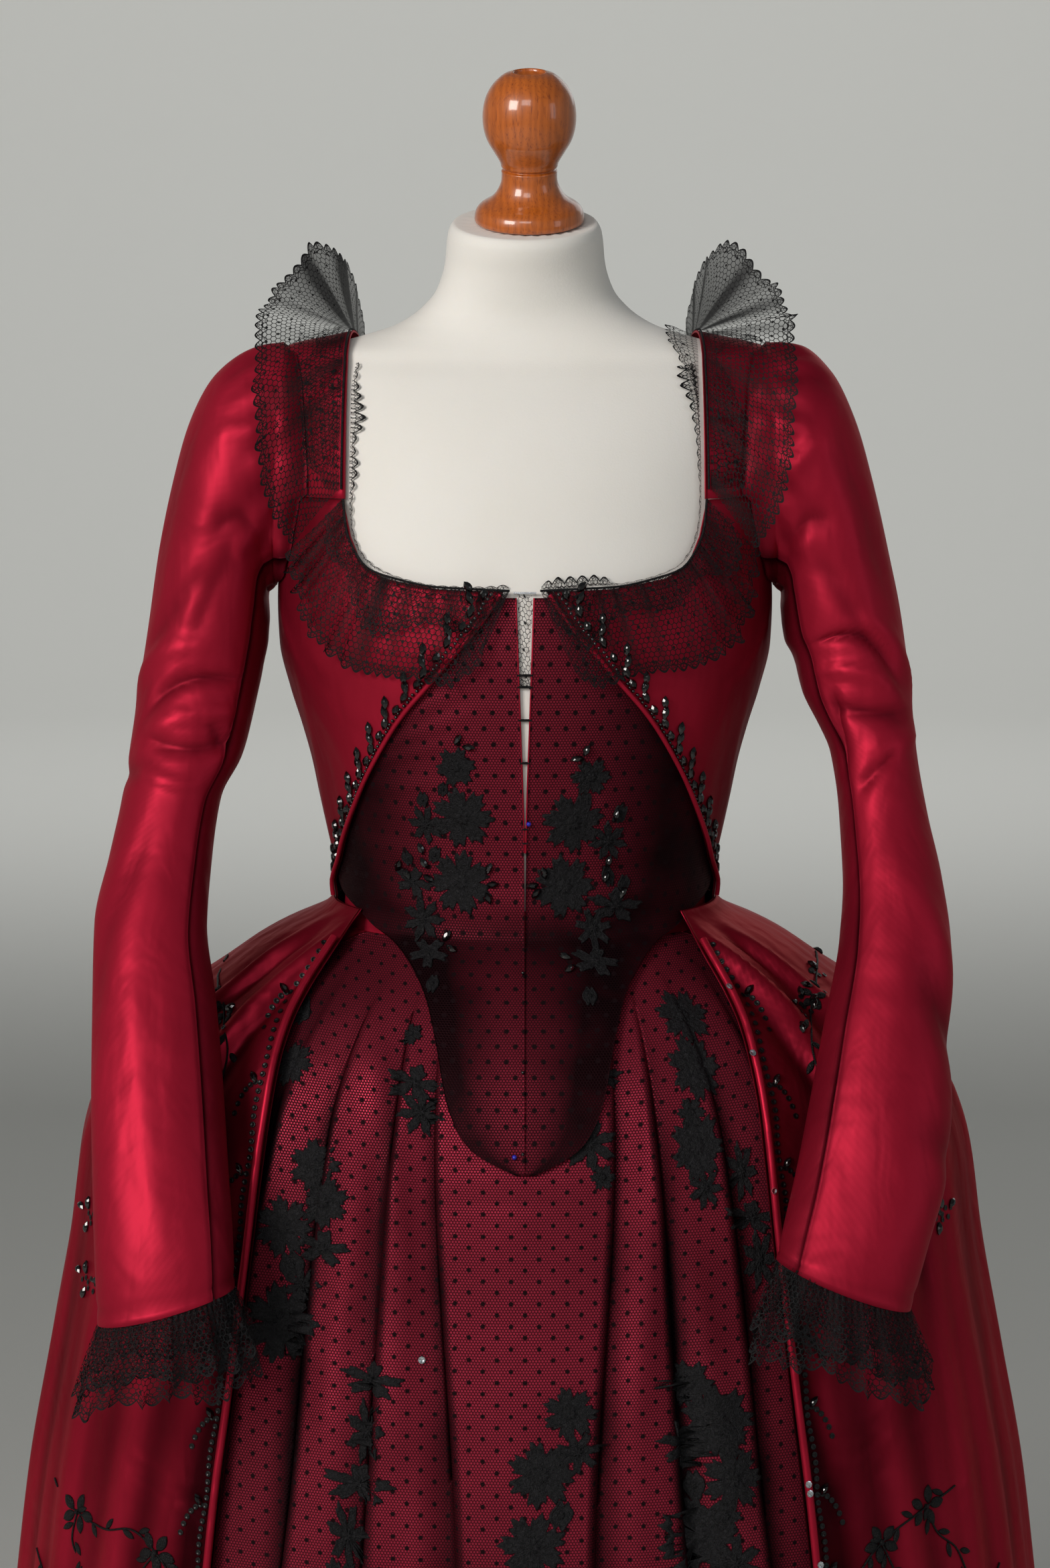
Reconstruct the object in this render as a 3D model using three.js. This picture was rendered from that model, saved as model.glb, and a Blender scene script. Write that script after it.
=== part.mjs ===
// Robe a l'anglaise of crimson satin with a dotted-tulle stomacher and petticoat, worn on a
// limbless dress form that stands on a pole and a round base.
// Millimetres, +Z up.  The gown faces -Y.  "right" and "left" are the wearer's own: right is -X.
// The origin is the centre of the base's underside.
import * as THREE from 'three';

// ---------------------------------------------------------------- driving dimensions
const WAIST = 1038;              // height of the waist seam
const BAND_BOTTOM = 1022;        // the petticoat's waistband, bottom and top
const BAND_TOP = 1044;
const HEM = 24;                  // height of the overskirt's hem
const PETTICOAT_HEM = 30;
const NECK_EDGE = 1266;          // the neckline at centre front
const SEAM_GAP = 0.3;            // clearance between pieces that are sewn edge to edge
const SATIN = 1.6;               // wall of the bodice, the straps, the sleeves and the stomacher
const SKIRT_CLOTH = 1.8;         // wall of the skirts
const LACE = 1.2;                // wall of the lace ruffles
const STOMACHER_LIFT = 0.9;      // the stomacher's inside above the form
const BODICE_LIFT = 3.4;         // the bodice's inside above the form, over the stomacher
const WAIST_LIFT = 4.4;          // how much further out both lie where they pass over the band
const WAIST_LIFT_FROM = 1072;    // above this height they lie on the form, and ...
const WAIST_LIFT_FULL = 1046;    // ... below this one they are fully out over the band
const POLE_RADIUS = 16;
const BASE_RADIUS = 205;
const BASE_HEIGHT = 18;
const SOCKET_RADIUS = 28;        // the base's raised socket, which the pole stands in
const SOCKET_TOP = 44;
const POLE_CAP_RADIUS = 34;      // the plate on top of the pole, which carries the form
const FORM_BOTTOM = 885;
const FORM_TOP = 1512;
const FORM_TOP_MIDDLE = -12;     // how far back the middle of the neck's top lies
const NECK_TILT = 14;            // degrees that the neck leans forward
const KNOB_OFFSET = 3;           // the knob sits a little to the wearer's left
const SIDE_SEAM = 96;            // degrees round from centre front to the bodice's side seam
const SEAM_TURN = 0.0014;        // half the gap at the bodice's side and back seams, in radians
const PIPING_RADIUS = 1.6;
const PIPING_STEP = 12;          // the height between the points of the piping's line
const ROLL_RADIUS = 3.6;         // the rolled edge of the overskirt
const SIDES = [{ side: -1, word: 'right' }, { side: 1, word: 'left' }];

// ---------------------------------------------------------------- tables
function table(names, rows) {
  const keys = names.split(' ');
  return rows.map((row) => Object.fromEntries(keys.map((key, i) => [key, row[i]])));
}

// The dress form: half width, depth to the front and to the back, and how far its middle sits back.
const FORM = table('z half front back shift tilt', [
  [FORM_BOTTOM, 150, 90, 108, 4, 0],
  [930, 152, 94, 114, 4, 0],
  [975, 143, 93, 106, 3, 0],
  [1010, 131, 92, 96, 1, 0],
  [1038, 126, 94, 90, 0, 0],
  [1057, 129, 96, 91, 0, 0],
  [1087, 135.5, 100, 92, 0, 0],
  [1113, 141, 104, 93, 0, 0],
  [1138, 146, 108, 95, 0, 0],
  [1164, 153, 113, 97, 0, 0],
  [1190, 161, 117, 99, 0, 0],
  [1221, 168, 120, 101, 0, 0],
  [1249, 169, 117, 102, 0, 0],
  [1275, 168, 110, 103, 0, 0],
  [1300, 167, 104, 102, 1, 0],
  [1340, 168, 95, 98, 3, 0],
  [1380, 171, 80, 86, 5, 0],
  [1405, 171, 65, 72, 7, 0],
  [1421, 166, 52, 58, 8, 0],
  [1433, 118, 48, 54, 8, 0],
  [1442, 90, 46, 53, 7, 1],
  [1453, 73, 45, 52, 5, 3],
  [1466, 62, 46, 52, 2, 6],
  [1484, 56, 48, 52, -3, 10],
  [1506, 53, 50, 52, -10, NECK_TILT],
  [FORM_TOP, 50, 47, 49, FORM_TOP_MIDDLE, NECK_TILT],
]);

// The petticoat and the overskirt, as rings below the waist; "square" is the ring's fullness.
const PETTICOAT = table('z half front back square', [
  [1021.7, 131.5, 97.5, 97.5, 2],
  [1012, 150, 106, 110, 2],
  [1000, 174, 120, 132, 2],
  [984, 202, 138, 160, 2],
  [965, 230, 154, 188, 2],
  [940, 260, 170, 217, 2],
  [899, 289, 187, 246, 2],
  [860, 300, 200, 263, 2],
  [800, 307, 214, 281, 2],
  [716, 321, 236, 301, 2.05],
  [633, 335, 253, 323, 2.1],
  [540, 345, 265, 341, 2.15],
  [300, 376, 295, 376, 2.2],
  [24, 412, 322, 416, 2.2],
]);
const OVERSKIRT = table('z half front back square', [
  [1037.7, 134.4, 102.4, 98.4, 2],
  [1030, 142, 109, 107, 2],
  [1016, 169, 122, 128, 2],
  [1004, 188, 133, 148, 2],
  [984, 216, 151, 178, 2],
  [965, 244, 167, 206, 2],
  [940, 274, 183, 234, 2],
  [899, 303, 201, 263, 2],
  [860, 314, 214, 281, 2],
  [800, 321, 228, 298, 2],
  [716, 335, 250, 319, 2.05],
  [633, 349, 267, 341, 2.1],
  [540, 360, 280, 359, 2.15],
  [300, 392, 310, 395, 2.2],
  [20, 430, 338, 437, 2.2],
]);

// Half of the stomacher: the centre-front edge and the outer edge of the part that shows.
const STOMACHER = table('z inner outer', [
  [1266, 6.5, 14],
  [1240, 5.6, 33],
  [1217, 4.8, 53],
  [1173, 3.3, 87],
  [1122, 1.6, 111],
  [1079, 0.6, 124],
  [1058, 0.4, 127],
  [1047, 0.3, 123],
  [1036, 0.3, 111],
  [1025, 0.3, 99],
  [1005, 0.3, 78],
  [985, 0.3, 66],
  [960, 0.3, 59],
  [924, 0.3, 51],
  [897, 0.3, 36],
  [888, 0.3, 20],
  [882, 0.3, 6],
]);
const UNDERLAP = 9;              // how far the stomacher runs on under the bodice fronts
const UNDERLAP_FROM = 1050;      // heights between which it grows to that
const UNDERLAP_FULL = 1075;
const EDGE_FOOT = 1058;          // below this height the bodice's front edge runs straight down

// The overskirt's front edge: how far out from the middle it hangs at each height.
const FRONT_EDGE = table('z right left', [
  [1037.7, 114, 108],
  [1014, 132, 122],
  [988, 150, 138],
  [971, 159, 146],
  [950, 166, 152],
  [924, 171, 157],
  [889, 176, 161],
  [841, 182, 166],
  [743, 194, 177],
  [633, 208, 190],
  [300, 238, 222],
  [20, 258, 244],
]);

// The top edge of half the bodice: angle round from centre front, and height.
const FRONT_TOP = table('angle z', [
  [4, 1266],
  [20, 1267],
  [34, 1273],
  [41, 1283],
  [44.5, 1300],
  [47, 1324.7],
  [70, 1324.7],
  [76, 1290],
  [84, 1268],
  [96, 1258],
]);
const BACK_TOP = table('angle z', [
  [96, 1258],
  [104, 1284],
  [109, 1325],
  [114, 1374.7],
  [140, 1374.7],
  [145, 1398],
  [160, 1404],
  [180, 1405],
]);
// The angles of the grid lines across each panel, so that its top edge keeps its corners.
const FRONT_STATIONS = [0, 20, 34, 41, 44.5, 47, 58, 70, 76, 84, 96];
const BACK_STATIONS = [96, 104, 109, 114, 122, 131, 140, 145, 156, 168, 180];

// The strap lies over the shoulder between these distances from the middle.
const STRAP = {
  inner: 121, outer: 154, innerBack: 112, outerBack: 149, outerTop: 165, frontEnd: 1325, backEnd: 1375,
};

// The sleeves, ring by ring: the outer and inner edges seen from the front, the middle's y, and
// the depth from front to back.
const SLEEVE = {
  right: table('outerX outerZ innerX innerZ y depth', [
    [168.8, 1430.5, 175.9, 1258, 5, 112],
    [192, 1425, 182, 1253, 4, 120],
    [215, 1409, 182, 1247, 2, 122],
    [233, 1378, 181, 1240, -1, 118],
    [246, 1335, 180, 1232, -5, 112],
    [257, 1285, 180, 1221, -10, 106],
    [264, 1238, 182, 1207, -16, 100],
    [271, 1190, 187, 1182, -28, 94],
    [277, 1146, 196, 1146, -44, 88],
    [281, 1116, 210, 1118, -59, 82],
    [288, 1080, 215, 1080, -80, 80],
    [296, 1038, 217, 1038, -106, 80],
    [295, 990, 209, 990, -136, 80],
    [293, 935, 202, 935, -168, 78],
    [290, 884, 197, 884, -195, 74],
    [287, 838, 193, 850, -217, 70],
    [284, 792, 191, 818, -232, 66],
  ]),
  left: table('outerX outerZ innerX innerZ y depth', [
    [168.8, 1430.5, 175.9, 1258, 5, 112],
    [192, 1428, 182, 1253, 4, 120],
    [213, 1411, 182, 1247, 2, 122],
    [230, 1378, 181, 1240, -1, 118],
    [243, 1335, 181, 1232, -5, 112],
    [255, 1285, 182, 1221, -10, 106],
    [264, 1242, 187, 1211, -16, 98],
    [270, 1194, 193, 1188, -28, 90],
    [274, 1147, 212, 1147, -44, 82],
    [280, 1108, 217, 1108, -62, 80],
    [288, 1067, 218, 1067, -88, 80],
    [292, 1027, 214, 1027, -114, 80],
    [290, 977, 202, 977, -144, 80],
    [288, 931, 191, 931, -172, 78],
    [283, 886, 180, 886, -196, 74],
    [270, 846, 171, 856, -216, 70],
    [256, 802, 165, 837, -232, 66],
  ]),
};
const SLEEVE_SEAM = 42;          // degrees from the inner edge to the front seam
const SLEEVE_SEAM_TURN = 0.25;   // half the gap at a sleeve's seams, in degrees

// The largest creases of a sleeve: where along it, where round it, how wide and how deep.
const SLEEVE_CREASES = table('along round spread turn depth', [
  [0.30, 95, 0.045, 70, 3.0],
  [0.44, 60, 0.030, 80, 3.5],
  [0.53, 70, 0.030, 90, 5.5],
  [0.60, 110, 0.028, 80, 3.5],
  [0.70, 60, 0.035, 70, 3.0],
  [0.80, 120, 0.040, 80, 3.0],
  [0.91, 80, 0.035, 90, 2.5],
]);

// The cuff ruffle's free edge, as a ring like the sleeve's.
const CUFF = {
  right: { outerX: 303, outerZ: 736, innerX: 170, innerZ: 763, y: -246, depth: 72 },
  left: { outerX: 273, outerZ: 747, innerX: 144, innerZ: 779, y: -248, depth: 72 },
};
const CUFF_WAVES = 20;

// The front neck ruffle: distance from the middle and height of its sewn and free edges.
const NECK_RUFFLE = table('x z edgeX edgeZ lift', [
  [10, 1266, 24, 1230, 4],
  [35, 1267, 48, 1206, 6],
  [60, 1268, 74, 1212, 6],
  [86, 1273, 100, 1212, 7],
  [104, 1279, 124, 1221, 8],
  [113, 1290, 141, 1240, 9],
  [119, 1305, 146, 1262, 10],
  [121, 1325, 150, 1286, 13],
]);
const NECK_WAVES = 8;
const NECK_WAVE_DEPTH = 2.6;

// The shoulder ruffle's free edge, which falls over the sleeve in front and stands up towards the
// back.  Its sewn edge follows the strap.
const SHOULDER_RUFFLE = table('edgeX edgeY edgeZ', [
  [158, -70, 1290],
  [173, -80, 1316],
  [181, -80, 1350],
  [184, -68, 1392],
  [185, -36, 1440],
  [172, 6, 1468],
  [142, 34, 1497],
  [124, 66, 1478],
  [116, 96, 1440],
  [114, 110, 1398],
]);
// The sewn edge: from and to, as distances from the middle and as places along the strap.
const SHOULDER_SEWN = { frontX: 124, backX: 115, from: -0.97, to: 0.93, lift: 1.4 };
const SHOULDER_WAVES = 9;
const SHOULDER_WAVE_DEPTH = 3.2;
const SHOULDER_BELLY = 5;        // how far the ruffle bulges between its two edges

// The back ruffle hangs on the bodice's back between two angles from centre back.
const BACK_RUFFLE = { top: 1400, fall: 52, reach: 36, lift: 0.5, flare: 5 };
const BACK_WAVES = 16;

// The petticoat's knife pleats: where each fold line lies at four heights, out from the middle.
const PLEATS = table('hip thigh knee hem', [
  [0, 0, 0, 0],
  [52, 57, 41, 34],
  [68, 84, 104, 160],
  [92, 128, 158, 236],
  [120, 164, 208, 306],
  [150, 250, 310, 388],
]);
const PLEAT_HEIGHTS = table('hip thigh knee hem', [[1000, 905, 634, 24]])[0];
// Stations across half of the petticoat's front: place among the folds, and how far the pleat's
// layer stands out there.
const PLEAT_STATIONS = table('fold rise', [
  [0, 1],
  [0.5, 1],
  [1, 1],
  [1.08, 0],
  [1.5, 0.45],
  [2, 1],
  [2.08, 0],
  [2.5, 0.45],
  [3, 1],
  [3.08, 0],
  [3.5, 0.45],
  [4, 1],
  [4.08, 0],
  [4.5, 0.3],
  [4.78, 0.25],
  [5, 0.2],
]);
const PLEAT_RISE = 6;
const PLEAT_TOP = 1016;          // the pleats lie flat above this height, and ...
const PLEAT_FADE = 130;          // ... stand out fully this far below it
const OVERSKIRT_FOLDS = 15;      // soft folds in each half of the overskirt
const OVERSKIRT_DEPTH = { waist: 3.6, hem: 11 };
const BACK_FOLDS = 9;            // folds of the petticoat's back
const BACK_FOLD_DEPTH = 4.4;
const SIDE_GAP = 0.9;            // between the petticoat's front and back
const CENTRE_BACK_GAP = 0.2;     // from each half of the overskirt to the middle of the back

// ---------------------------------------------------------------- materials
const finish = (color, roughness, metalness = 0) =>
  new THREE.MeshStandardMaterial({ color, roughness, metalness, side: THREE.DoubleSide });
const crimsonSatin = finish(0xa81428, 0.34);
const dottedTulle = finish(0x4a0d16, 0.55);
const blackLace = finish(0x0c0a0c, 0.7);
const creamJersey = finish(0xe9e2cf, 0.85);
const turnedWood = finish(0x9c4a1c, 0.25);
const stoveEnamel = finish(0x2a2625, 0.4, 0.6);

// ---------------------------------------------------------------- small maths
const { degToRad: radians, radToDeg: degrees, lerp: mix, clamp, smoothstep } = THREE.MathUtils;

// A smooth curve through one column of a table against another, with no overshoot.
function curve(rows, key, value) {
  const sorted = [...rows].sort((a, b) => a[key] - b[key]);
  const xs = sorted.map((row) => row[key]);
  const ys = sorted.map((row) => row[value]);
  const chords = ys.slice(1).map((y, i) => (y - ys[i]) / (xs[i + 1] - xs[i]));
  const slopes = ys.map((_, i) => {
    if (i === 0) return chords[0];
    if (i === chords.length) return chords[i - 1];
    const [a, b] = [chords[i - 1], chords[i]];
    return a * b <= 0 ? 0 : (2 * a * b) / (a + b);
  });
  return (at) => {
    const x = clamp(at, xs[0], xs[xs.length - 1]);
    let i = 0;
    while (i < chords.length - 1 && x > xs[i + 1]) i += 1;
    const h = xs[i + 1] - xs[i];
    const t = (x - xs[i]) / h;
    const rest = 1 - t;
    return ys[i] * (1 + 2 * t) * rest * rest + slopes[i] * h * t * rest * rest
      + ys[i + 1] * t * t * (3 - 2 * t) - slopes[i + 1] * h * t * t * rest;
  };
}

// A table read as straight runs between its rows.
function runs(rows, key, value) {
  return (at) => {
    let i = 0;
    while (i < rows.length - 2 && at > rows[i + 1][key]) i += 1;
    const t = clamp((at - rows[i][key]) / (rows[i + 1][key] - rows[i][key]), 0, 1);
    return mix(rows[i][value], rows[i + 1][value], t);
  };
}

// A ring at some height from a table of rings: angle 0 is centre front, 90 is the wearer's left.
function ringSurface(rows) {
  const read = {};
  for (const key of Object.keys(rows[0])) {
    if (key !== 'z') read[key] = curve(rows, 'z', key);
  }
  const surface = (angle, z) => {
    const sine = Math.sin(angle);
    const cosine = Math.cos(angle);
    const power = 2 / (read.square ? read.square(z) : 2);
    const depth = cosine > 0 ? read.front(z) : read.back(z);
    const x = read.half(z) * Math.sign(sine) * Math.abs(sine) ** power;
    const y = -depth * Math.sign(cosine) * Math.abs(cosine) ** power;
    const tilt = read.tilt ? Math.tan(radians(read.tilt(z))) : 0;
    return new THREE.Vector3(x, y + (read.shift ? read.shift(z) : 0), z + y * tilt);
  };
  surface.half = read.half;
  surface.angleAt = (x, z) => {
    const power = (read.square ? read.square(z) : 2) / 2;
    return Math.asin(clamp(x / read.half(z), -1, 1) ** power);
  };
  return surface;
}
const formAt = ringSurface(FORM);
const petticoatAt = ringSurface(PETTICOAT);
const overskirtAt = ringSurface(OVERSKIRT);

// The unit normal of a surface of two variables, by differences.
function normalOf(surface, u, v, stepU, stepV) {
  const alongU = surface(u + stepU, v).sub(surface(u - stepU, v));
  const alongV = surface(u, v + stepV).sub(surface(u, v - stepV));
  return alongU.cross(alongV).normalize();
}
const liftedFrom = (surface) => (angle, z, lift) =>
  surface(angle, z).addScaledVector(normalOf(surface, angle, z, 0.01, 1), lift);
const onForm = liftedFrom(formAt);
const onPetticoat = liftedFrom(petticoatAt);
const onOverskirt = liftedFrom(overskirtAt);

// Cloth passes further out as it comes down over the waistband.
const bandLift = (z) => WAIST_LIFT * (1 - smoothstep(z, WAIST_LIFT_FULL, WAIST_LIFT_FROM));

// ---------------------------------------------------------------- builders
function meshOf(name, material, positions, faces) {
  const geometry = new THREE.BufferGeometry();
  const numbers = positions.flatMap((p) => p.toArray());
  geometry.setAttribute('position', new THREE.Float32BufferAttribute(numbers, 3));
  geometry.setIndex(faces.flat());
  geometry.computeVertexNormals();
  const mesh = new THREE.Mesh(geometry, material);
  mesh.name = name;
  return mesh;
}

// A wall of cloth.  inside(u, v) gives its inner face, u and v from 0 to 1; the outer face is
// moved out along the normals.  Written for the wearer's left and mirrored for the right.  A level
// wall has its two rims cut level.
function clothWall(name, material, inside, options) {
  const { across, along, thickness, closed = false, side = 1, out = 1, level = false } = options;
  const columns = closed ? across : across + 1;
  const us = options.stations ?? Array.from({ length: columns }, (_, i) => i / across);
  const vs = options.rows ?? Array.from({ length: along + 1 }, (_, j) => j / along);
  const eps = 1e-3;
  const inner = [];
  const outer = [];
  for (const v of vs) {
    for (const u of us) {
      const point = inside(u, v);
      const low = [closed ? u : clamp(u, eps, 1 - eps), clamp(v, eps, 1 - eps)];
      const normal = normalOf(inside, low[0], low[1], eps, eps).multiplyScalar(out);
      if (level && (v === 0 || v === 1)) normal.setZ(0).normalize();
      inner.push(point);
      outer.push(point.clone().addScaledVector(normal, thickness));
    }
  }
  const positions = [...inner, ...outer];
  positions.forEach((p) => p.setX(p.x * side));
  const shift = inner.length;
  const at = (i, j) => (i % columns) + j * columns;
  const faces = [];
  const quad = (a, b, c, d) => {
    faces.push([a, b, c], [a, c, d]);
  };
  for (let j = 0; j < vs.length - 1; j += 1) {
    for (let i = 0; i < across; i += 1) {
      quad(at(i, j), at(i, j + 1), at(i + 1, j + 1), at(i + 1, j));
      quad(at(i, j) + shift, at(i + 1, j) + shift, at(i + 1, j + 1) + shift, at(i, j + 1) + shift);
    }
  }
  const last = vs.length - 1;
  for (let i = 0; i < across; i += 1) {
    quad(at(i, 0), at(i + 1, 0), at(i + 1, 0) + shift, at(i, 0) + shift);
    quad(at(i + 1, last), at(i, last), at(i, last) + shift, at(i + 1, last) + shift);
  }
  if (!closed) {
    for (let j = 0; j < last; j += 1) {
      quad(at(0, j + 1), at(0, j), at(0, j) + shift, at(0, j + 1) + shift);
      quad(at(across, j), at(across, j + 1), at(across, j + 1) + shift, at(across, j) + shift);
    }
  }
  const turned = side * out < 0 ? faces.map(([a, b, c]) => [a, c, b]) : faces;
  return meshOf(name, material, positions, turned);
}

// A solid through closed rings of points, with a flat lid at each end.
function solidOfRings(name, material, rings) {
  const count = rings[0].length;
  const positions = rings.flat();
  const faces = [];
  for (let j = 0; j < rings.length - 1; j += 1) {
    for (let i = 0; i < count; i += 1) {
      const next = (i + 1) % count;
      const [a, b, c, d] = [i + j * count, next + j * count, next + (j + 1) * count, i + (j + 1) * count];
      faces.push([a, b, c], [a, c, d]);
    }
  }
  for (const [j, turn] of [[0, -1], [rings.length - 1, 1]]) {
    const middle = rings[j].reduce((sum, p) => sum.add(p), new THREE.Vector3()).divideScalar(count);
    positions.push(middle);
    for (let i = 0; i < count; i += 1) {
      const edge = [i + j * count, ((i + 1) % count) + j * count];
      faces.push(turn > 0 ? [...edge, positions.length - 1] : [edge[1], edge[0], positions.length - 1]);
    }
  }
  return meshOf(name, material, positions, faces);
}

// A round tube along a smooth path.
function tube(name, material, points, radius, steps, sides) {
  const circle = new THREE.Shape();
  for (let i = 0; i < sides; i += 1) {
    const turn = (2 * Math.PI * i) / sides;
    const [x, y] = [radius * Math.cos(turn), radius * Math.sin(turn)];
    if (i === 0) circle.moveTo(x, y);
    else circle.lineTo(x, y);
  }
  circle.closePath();
  const extrudePath = new THREE.CatmullRomCurve3(points, false, 'centripetal');
  const geometry = new THREE.ExtrudeGeometry(circle, { steps, extrudePath, bevelEnabled: false });
  const mesh = new THREE.Mesh(geometry, material);
  mesh.name = name;
  return mesh;
}

// A turned piece: a profile of [radius, height] points that starts and ends on its axis.
function turned(name, material, profile, segments) {
  const points = profile.map(([radius, height]) => new THREE.Vector2(radius, height));
  const mesh = new THREE.Mesh(new THREE.LatheGeometry(points, segments), material);
  mesh.name = name;
  mesh.rotation.x = Math.PI / 2;
  return mesh;
}

const group = new THREE.Group();
const add = (...meshes) => group.add(...meshes);

// ---------------------------------------------------------------- the dress form and its stand
function formTorso() {
  const around = 24;
  // The jersey lies just under the cloth's own layers, and further in at the waistband.
  const skin = (z) => (z < 1070 ? 0.9 : 0.4);
  const heights = [FORM_BOTTOM, 940, 990, 1020, 1038, 1056, 1085, 1120, 1155, 1190, 1225, 1262, 1300,
    1340, 1380, 1405, 1421, 1433, 1442, 1453, 1466, 1484, 1506, FORM_TOP];
  const rings = heights.map((z, j) => Array.from({ length: around }, (_, i) => {
    const angle = (2 * Math.PI * i) / around;
    const rim = j === 0 || j >= heights.length - 2;
    return rim ? formAt(angle, z) : onForm(angle, z, -skin(z));
  }));
  return solidOfRings('form_torso', creamJersey, rings);
}

function neckKnob() {
  const profile = [[0, 0], [37, 0], [37.5, 5], [34, 10], [25, 17], [19.5, 26], [19, 34], [19.4, 37],
    [18.4, 39], [20, 44], [26, 52], [30.5, 61], [31.8, 72], [30.5, 83], [26, 93], [18, 101],
    [12, 104], [10, 102.5], [0, 102.5]];
  const knob = turned('neck_knob', turnedWood, profile, 20);
  const holder = new THREE.Group();
  holder.add(knob);
  holder.position.set(KNOB_OFFSET, FORM_TOP_MIDDLE, FORM_TOP + SEAM_GAP);
  holder.rotation.x = radians(NECK_TILT);
  return holder;
}

function stand() {
  const plate = [[0, 0], [BASE_RADIUS - 4, 0], [BASE_RADIUS, 4], [BASE_RADIUS, 9],
    [BASE_RADIUS - 6, 13], [60, BASE_HEIGHT], [34, BASE_HEIGHT + 12], [SOCKET_RADIUS, SOCKET_TOP],
    [0, SOCKET_TOP]];
  const base = turned('stand_base', stoveEnamel, plate, 28);
  const poleFoot = SOCKET_TOP + SEAM_GAP;
  const poleTop = FORM_BOTTOM - SEAM_GAP;
  const profile = [[0, poleFoot], [POLE_RADIUS, poleFoot], [POLE_RADIUS, poleTop - 12],
    [POLE_CAP_RADIUS, poleTop - 6], [POLE_CAP_RADIUS, poleTop], [0, poleTop]];
  return [base, turned('stand_pole', stoveEnamel, profile, 16)];
}

// ---------------------------------------------------------------- bodice
const stomacherInner = curve(STOMACHER, 'z', 'inner');
const stomacherOuter = curve(STOMACHER, 'z', 'outer');

// The stomacher's own surface: the form above the waist, the petticoat's front below it.
function stomacherSurface(x, z, lift) {
  if (z > WAIST) return onForm(formAt.angleAt(x, z), z, lift + bandLift(z));
  const overPleats = 0.75 * PLEAT_RISE * smoothstep(WAIST - z, 42, 152);
  if (z < BAND_BOTTOM) return onPetticoat(petticoatAt.angleAt(x, z), z, lift + WAIST_LIFT + overPleats);
  const blend = (z - BAND_BOTTOM) / (WAIST - BAND_BOTTOM);
  const above = onForm(formAt.angleAt(x, z), z, lift + WAIST_LIFT);
  return onPetticoat(petticoatAt.angleAt(x, BAND_BOTTOM), BAND_BOTTOM, lift + WAIST_LIFT)
    .setZ(z).lerp(above, blend);
}
const underlapAt = (z) => UNDERLAP * smoothstep(z, UNDERLAP_FROM, UNDERLAP_FULL);

function stomacher({ side, word }) {
  const rows = [882, 888, 898, 912, 930, 950, 970, 988, 1003, 1015, 1026, 1036, 1047, 1060, 1080,
    1105, 1135, 1165, 1195, 1230, 1262];
  const inside = (u, v) => {
    const z = mix(rows[0], rows[rows.length - 1], v);
    const edge = Math.min(stomacherOuter(z) + underlapAt(z), formAt.half(z) * 0.985);
    const reach = z > BAND_BOTTOM ? formAt.half(z) : petticoatAt.half(z);
    const turn = mix(Math.asin(stomacherInner(z) / reach), Math.asin(edge / reach), u);
    return stomacherSurface(reach * Math.sin(turn), z, STOMACHER_LIFT);
  };
  const span = rows[rows.length - 1] - rows[0];
  return clothWall(`stomacher_${word}`, dottedTulle, inside, {
    across: 7, along: rows.length - 1, rows: rows.map((z) => (z - rows[0]) / span), thickness: SATIN, side,
  });
}

// The bodice's surface over the form, by angle and height.
const onBodice = (angle, z, lift = 0) => onForm(angle, z, BODICE_LIFT + bandLift(z) + lift);
const frontTop = runs(FRONT_TOP, 'angle', 'z');
const backTop = runs(BACK_TOP, 'angle', 'z');
// The front edge of the bodice, which runs from the neckline to the waist over the stomacher.
const frontEdgeAngle = (z) => {
  const edge = stomacherOuter(Math.max(z, EDGE_FOOT));
  return formAt.angleAt(Math.min(edge, formAt.half(z) - 1), z);
};

function bodiceFront({ side, word }) {
  const last = radians(SIDE_SEAM) - SEAM_TURN;
  const start = frontEdgeAngle(NECK_EDGE);
  const stations = FRONT_STATIONS.map((angle) => clamp((radians(angle) - start) / (last - start), 0, 1));
  const inside = (u, v) => {
    const top = frontTop(degrees(mix(start, last, u)));
    const z = mix(WAIST, top, v);
    return onBodice(mix(frontEdgeAngle(Math.min(z, NECK_EDGE)), last, u), z);
  };
  return clothWall(`bodice_front_${word}`, crimsonSatin, inside, {
    across: stations.length - 1, along: 10, stations, thickness: SATIN, side, level: true,
  });
}

function bodiceBack({ side, word }) {
  const first = radians(SIDE_SEAM) + SEAM_TURN;
  const last = Math.PI - SEAM_TURN;
  const stations = BACK_STATIONS.map((angle) => clamp((radians(angle) - first) / (last - first), 0, 1));
  const inside = (u, v) => {
    const angle = mix(first, last, u);
    return onBodice(angle, mix(WAIST, backTop(degrees(angle)), v));
  };
  return clothWall(`bodice_back_${word}`, crimsonSatin, inside, {
    across: stations.length - 1, along: 9, stations, thickness: SATIN, side, level: true,
  });
}

// The height of the form's shoulder line at a distance from the middle.
function shoulderTop(x) {
  let [low, high] = [1405, 1466];
  for (let i = 0; i < 40; i += 1) {
    const middle = (low + high) / 2;
    if (formAt.half(middle) > x) low = middle;
    else high = middle;
  }
  return low;
}

// A point on the shoulder: x from the middle, s from -1 at the strap's front end to 1 at its back.
function onShoulder(x, s) {
  const top = shoulderTop(x) - 0.05;
  const end = s < 0 ? STRAP.frontEnd : STRAP.backEnd;
  const z = top - (top - end) * s * s;
  const angle = formAt.angleAt(x, z);
  return formAt(s < 0 ? angle : Math.PI - angle, z);
}
function onStrap(x, s, lift) {
  const place = Math.abs(s) < 0.02 ? 0.02 : clamp(s, -0.99, 0.99);
  const normal = normalOf(onShoulder, x, place, 0.5, 0.01);
  return onShoulder(x, s).addScaledVector(normal, lift);
}

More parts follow.
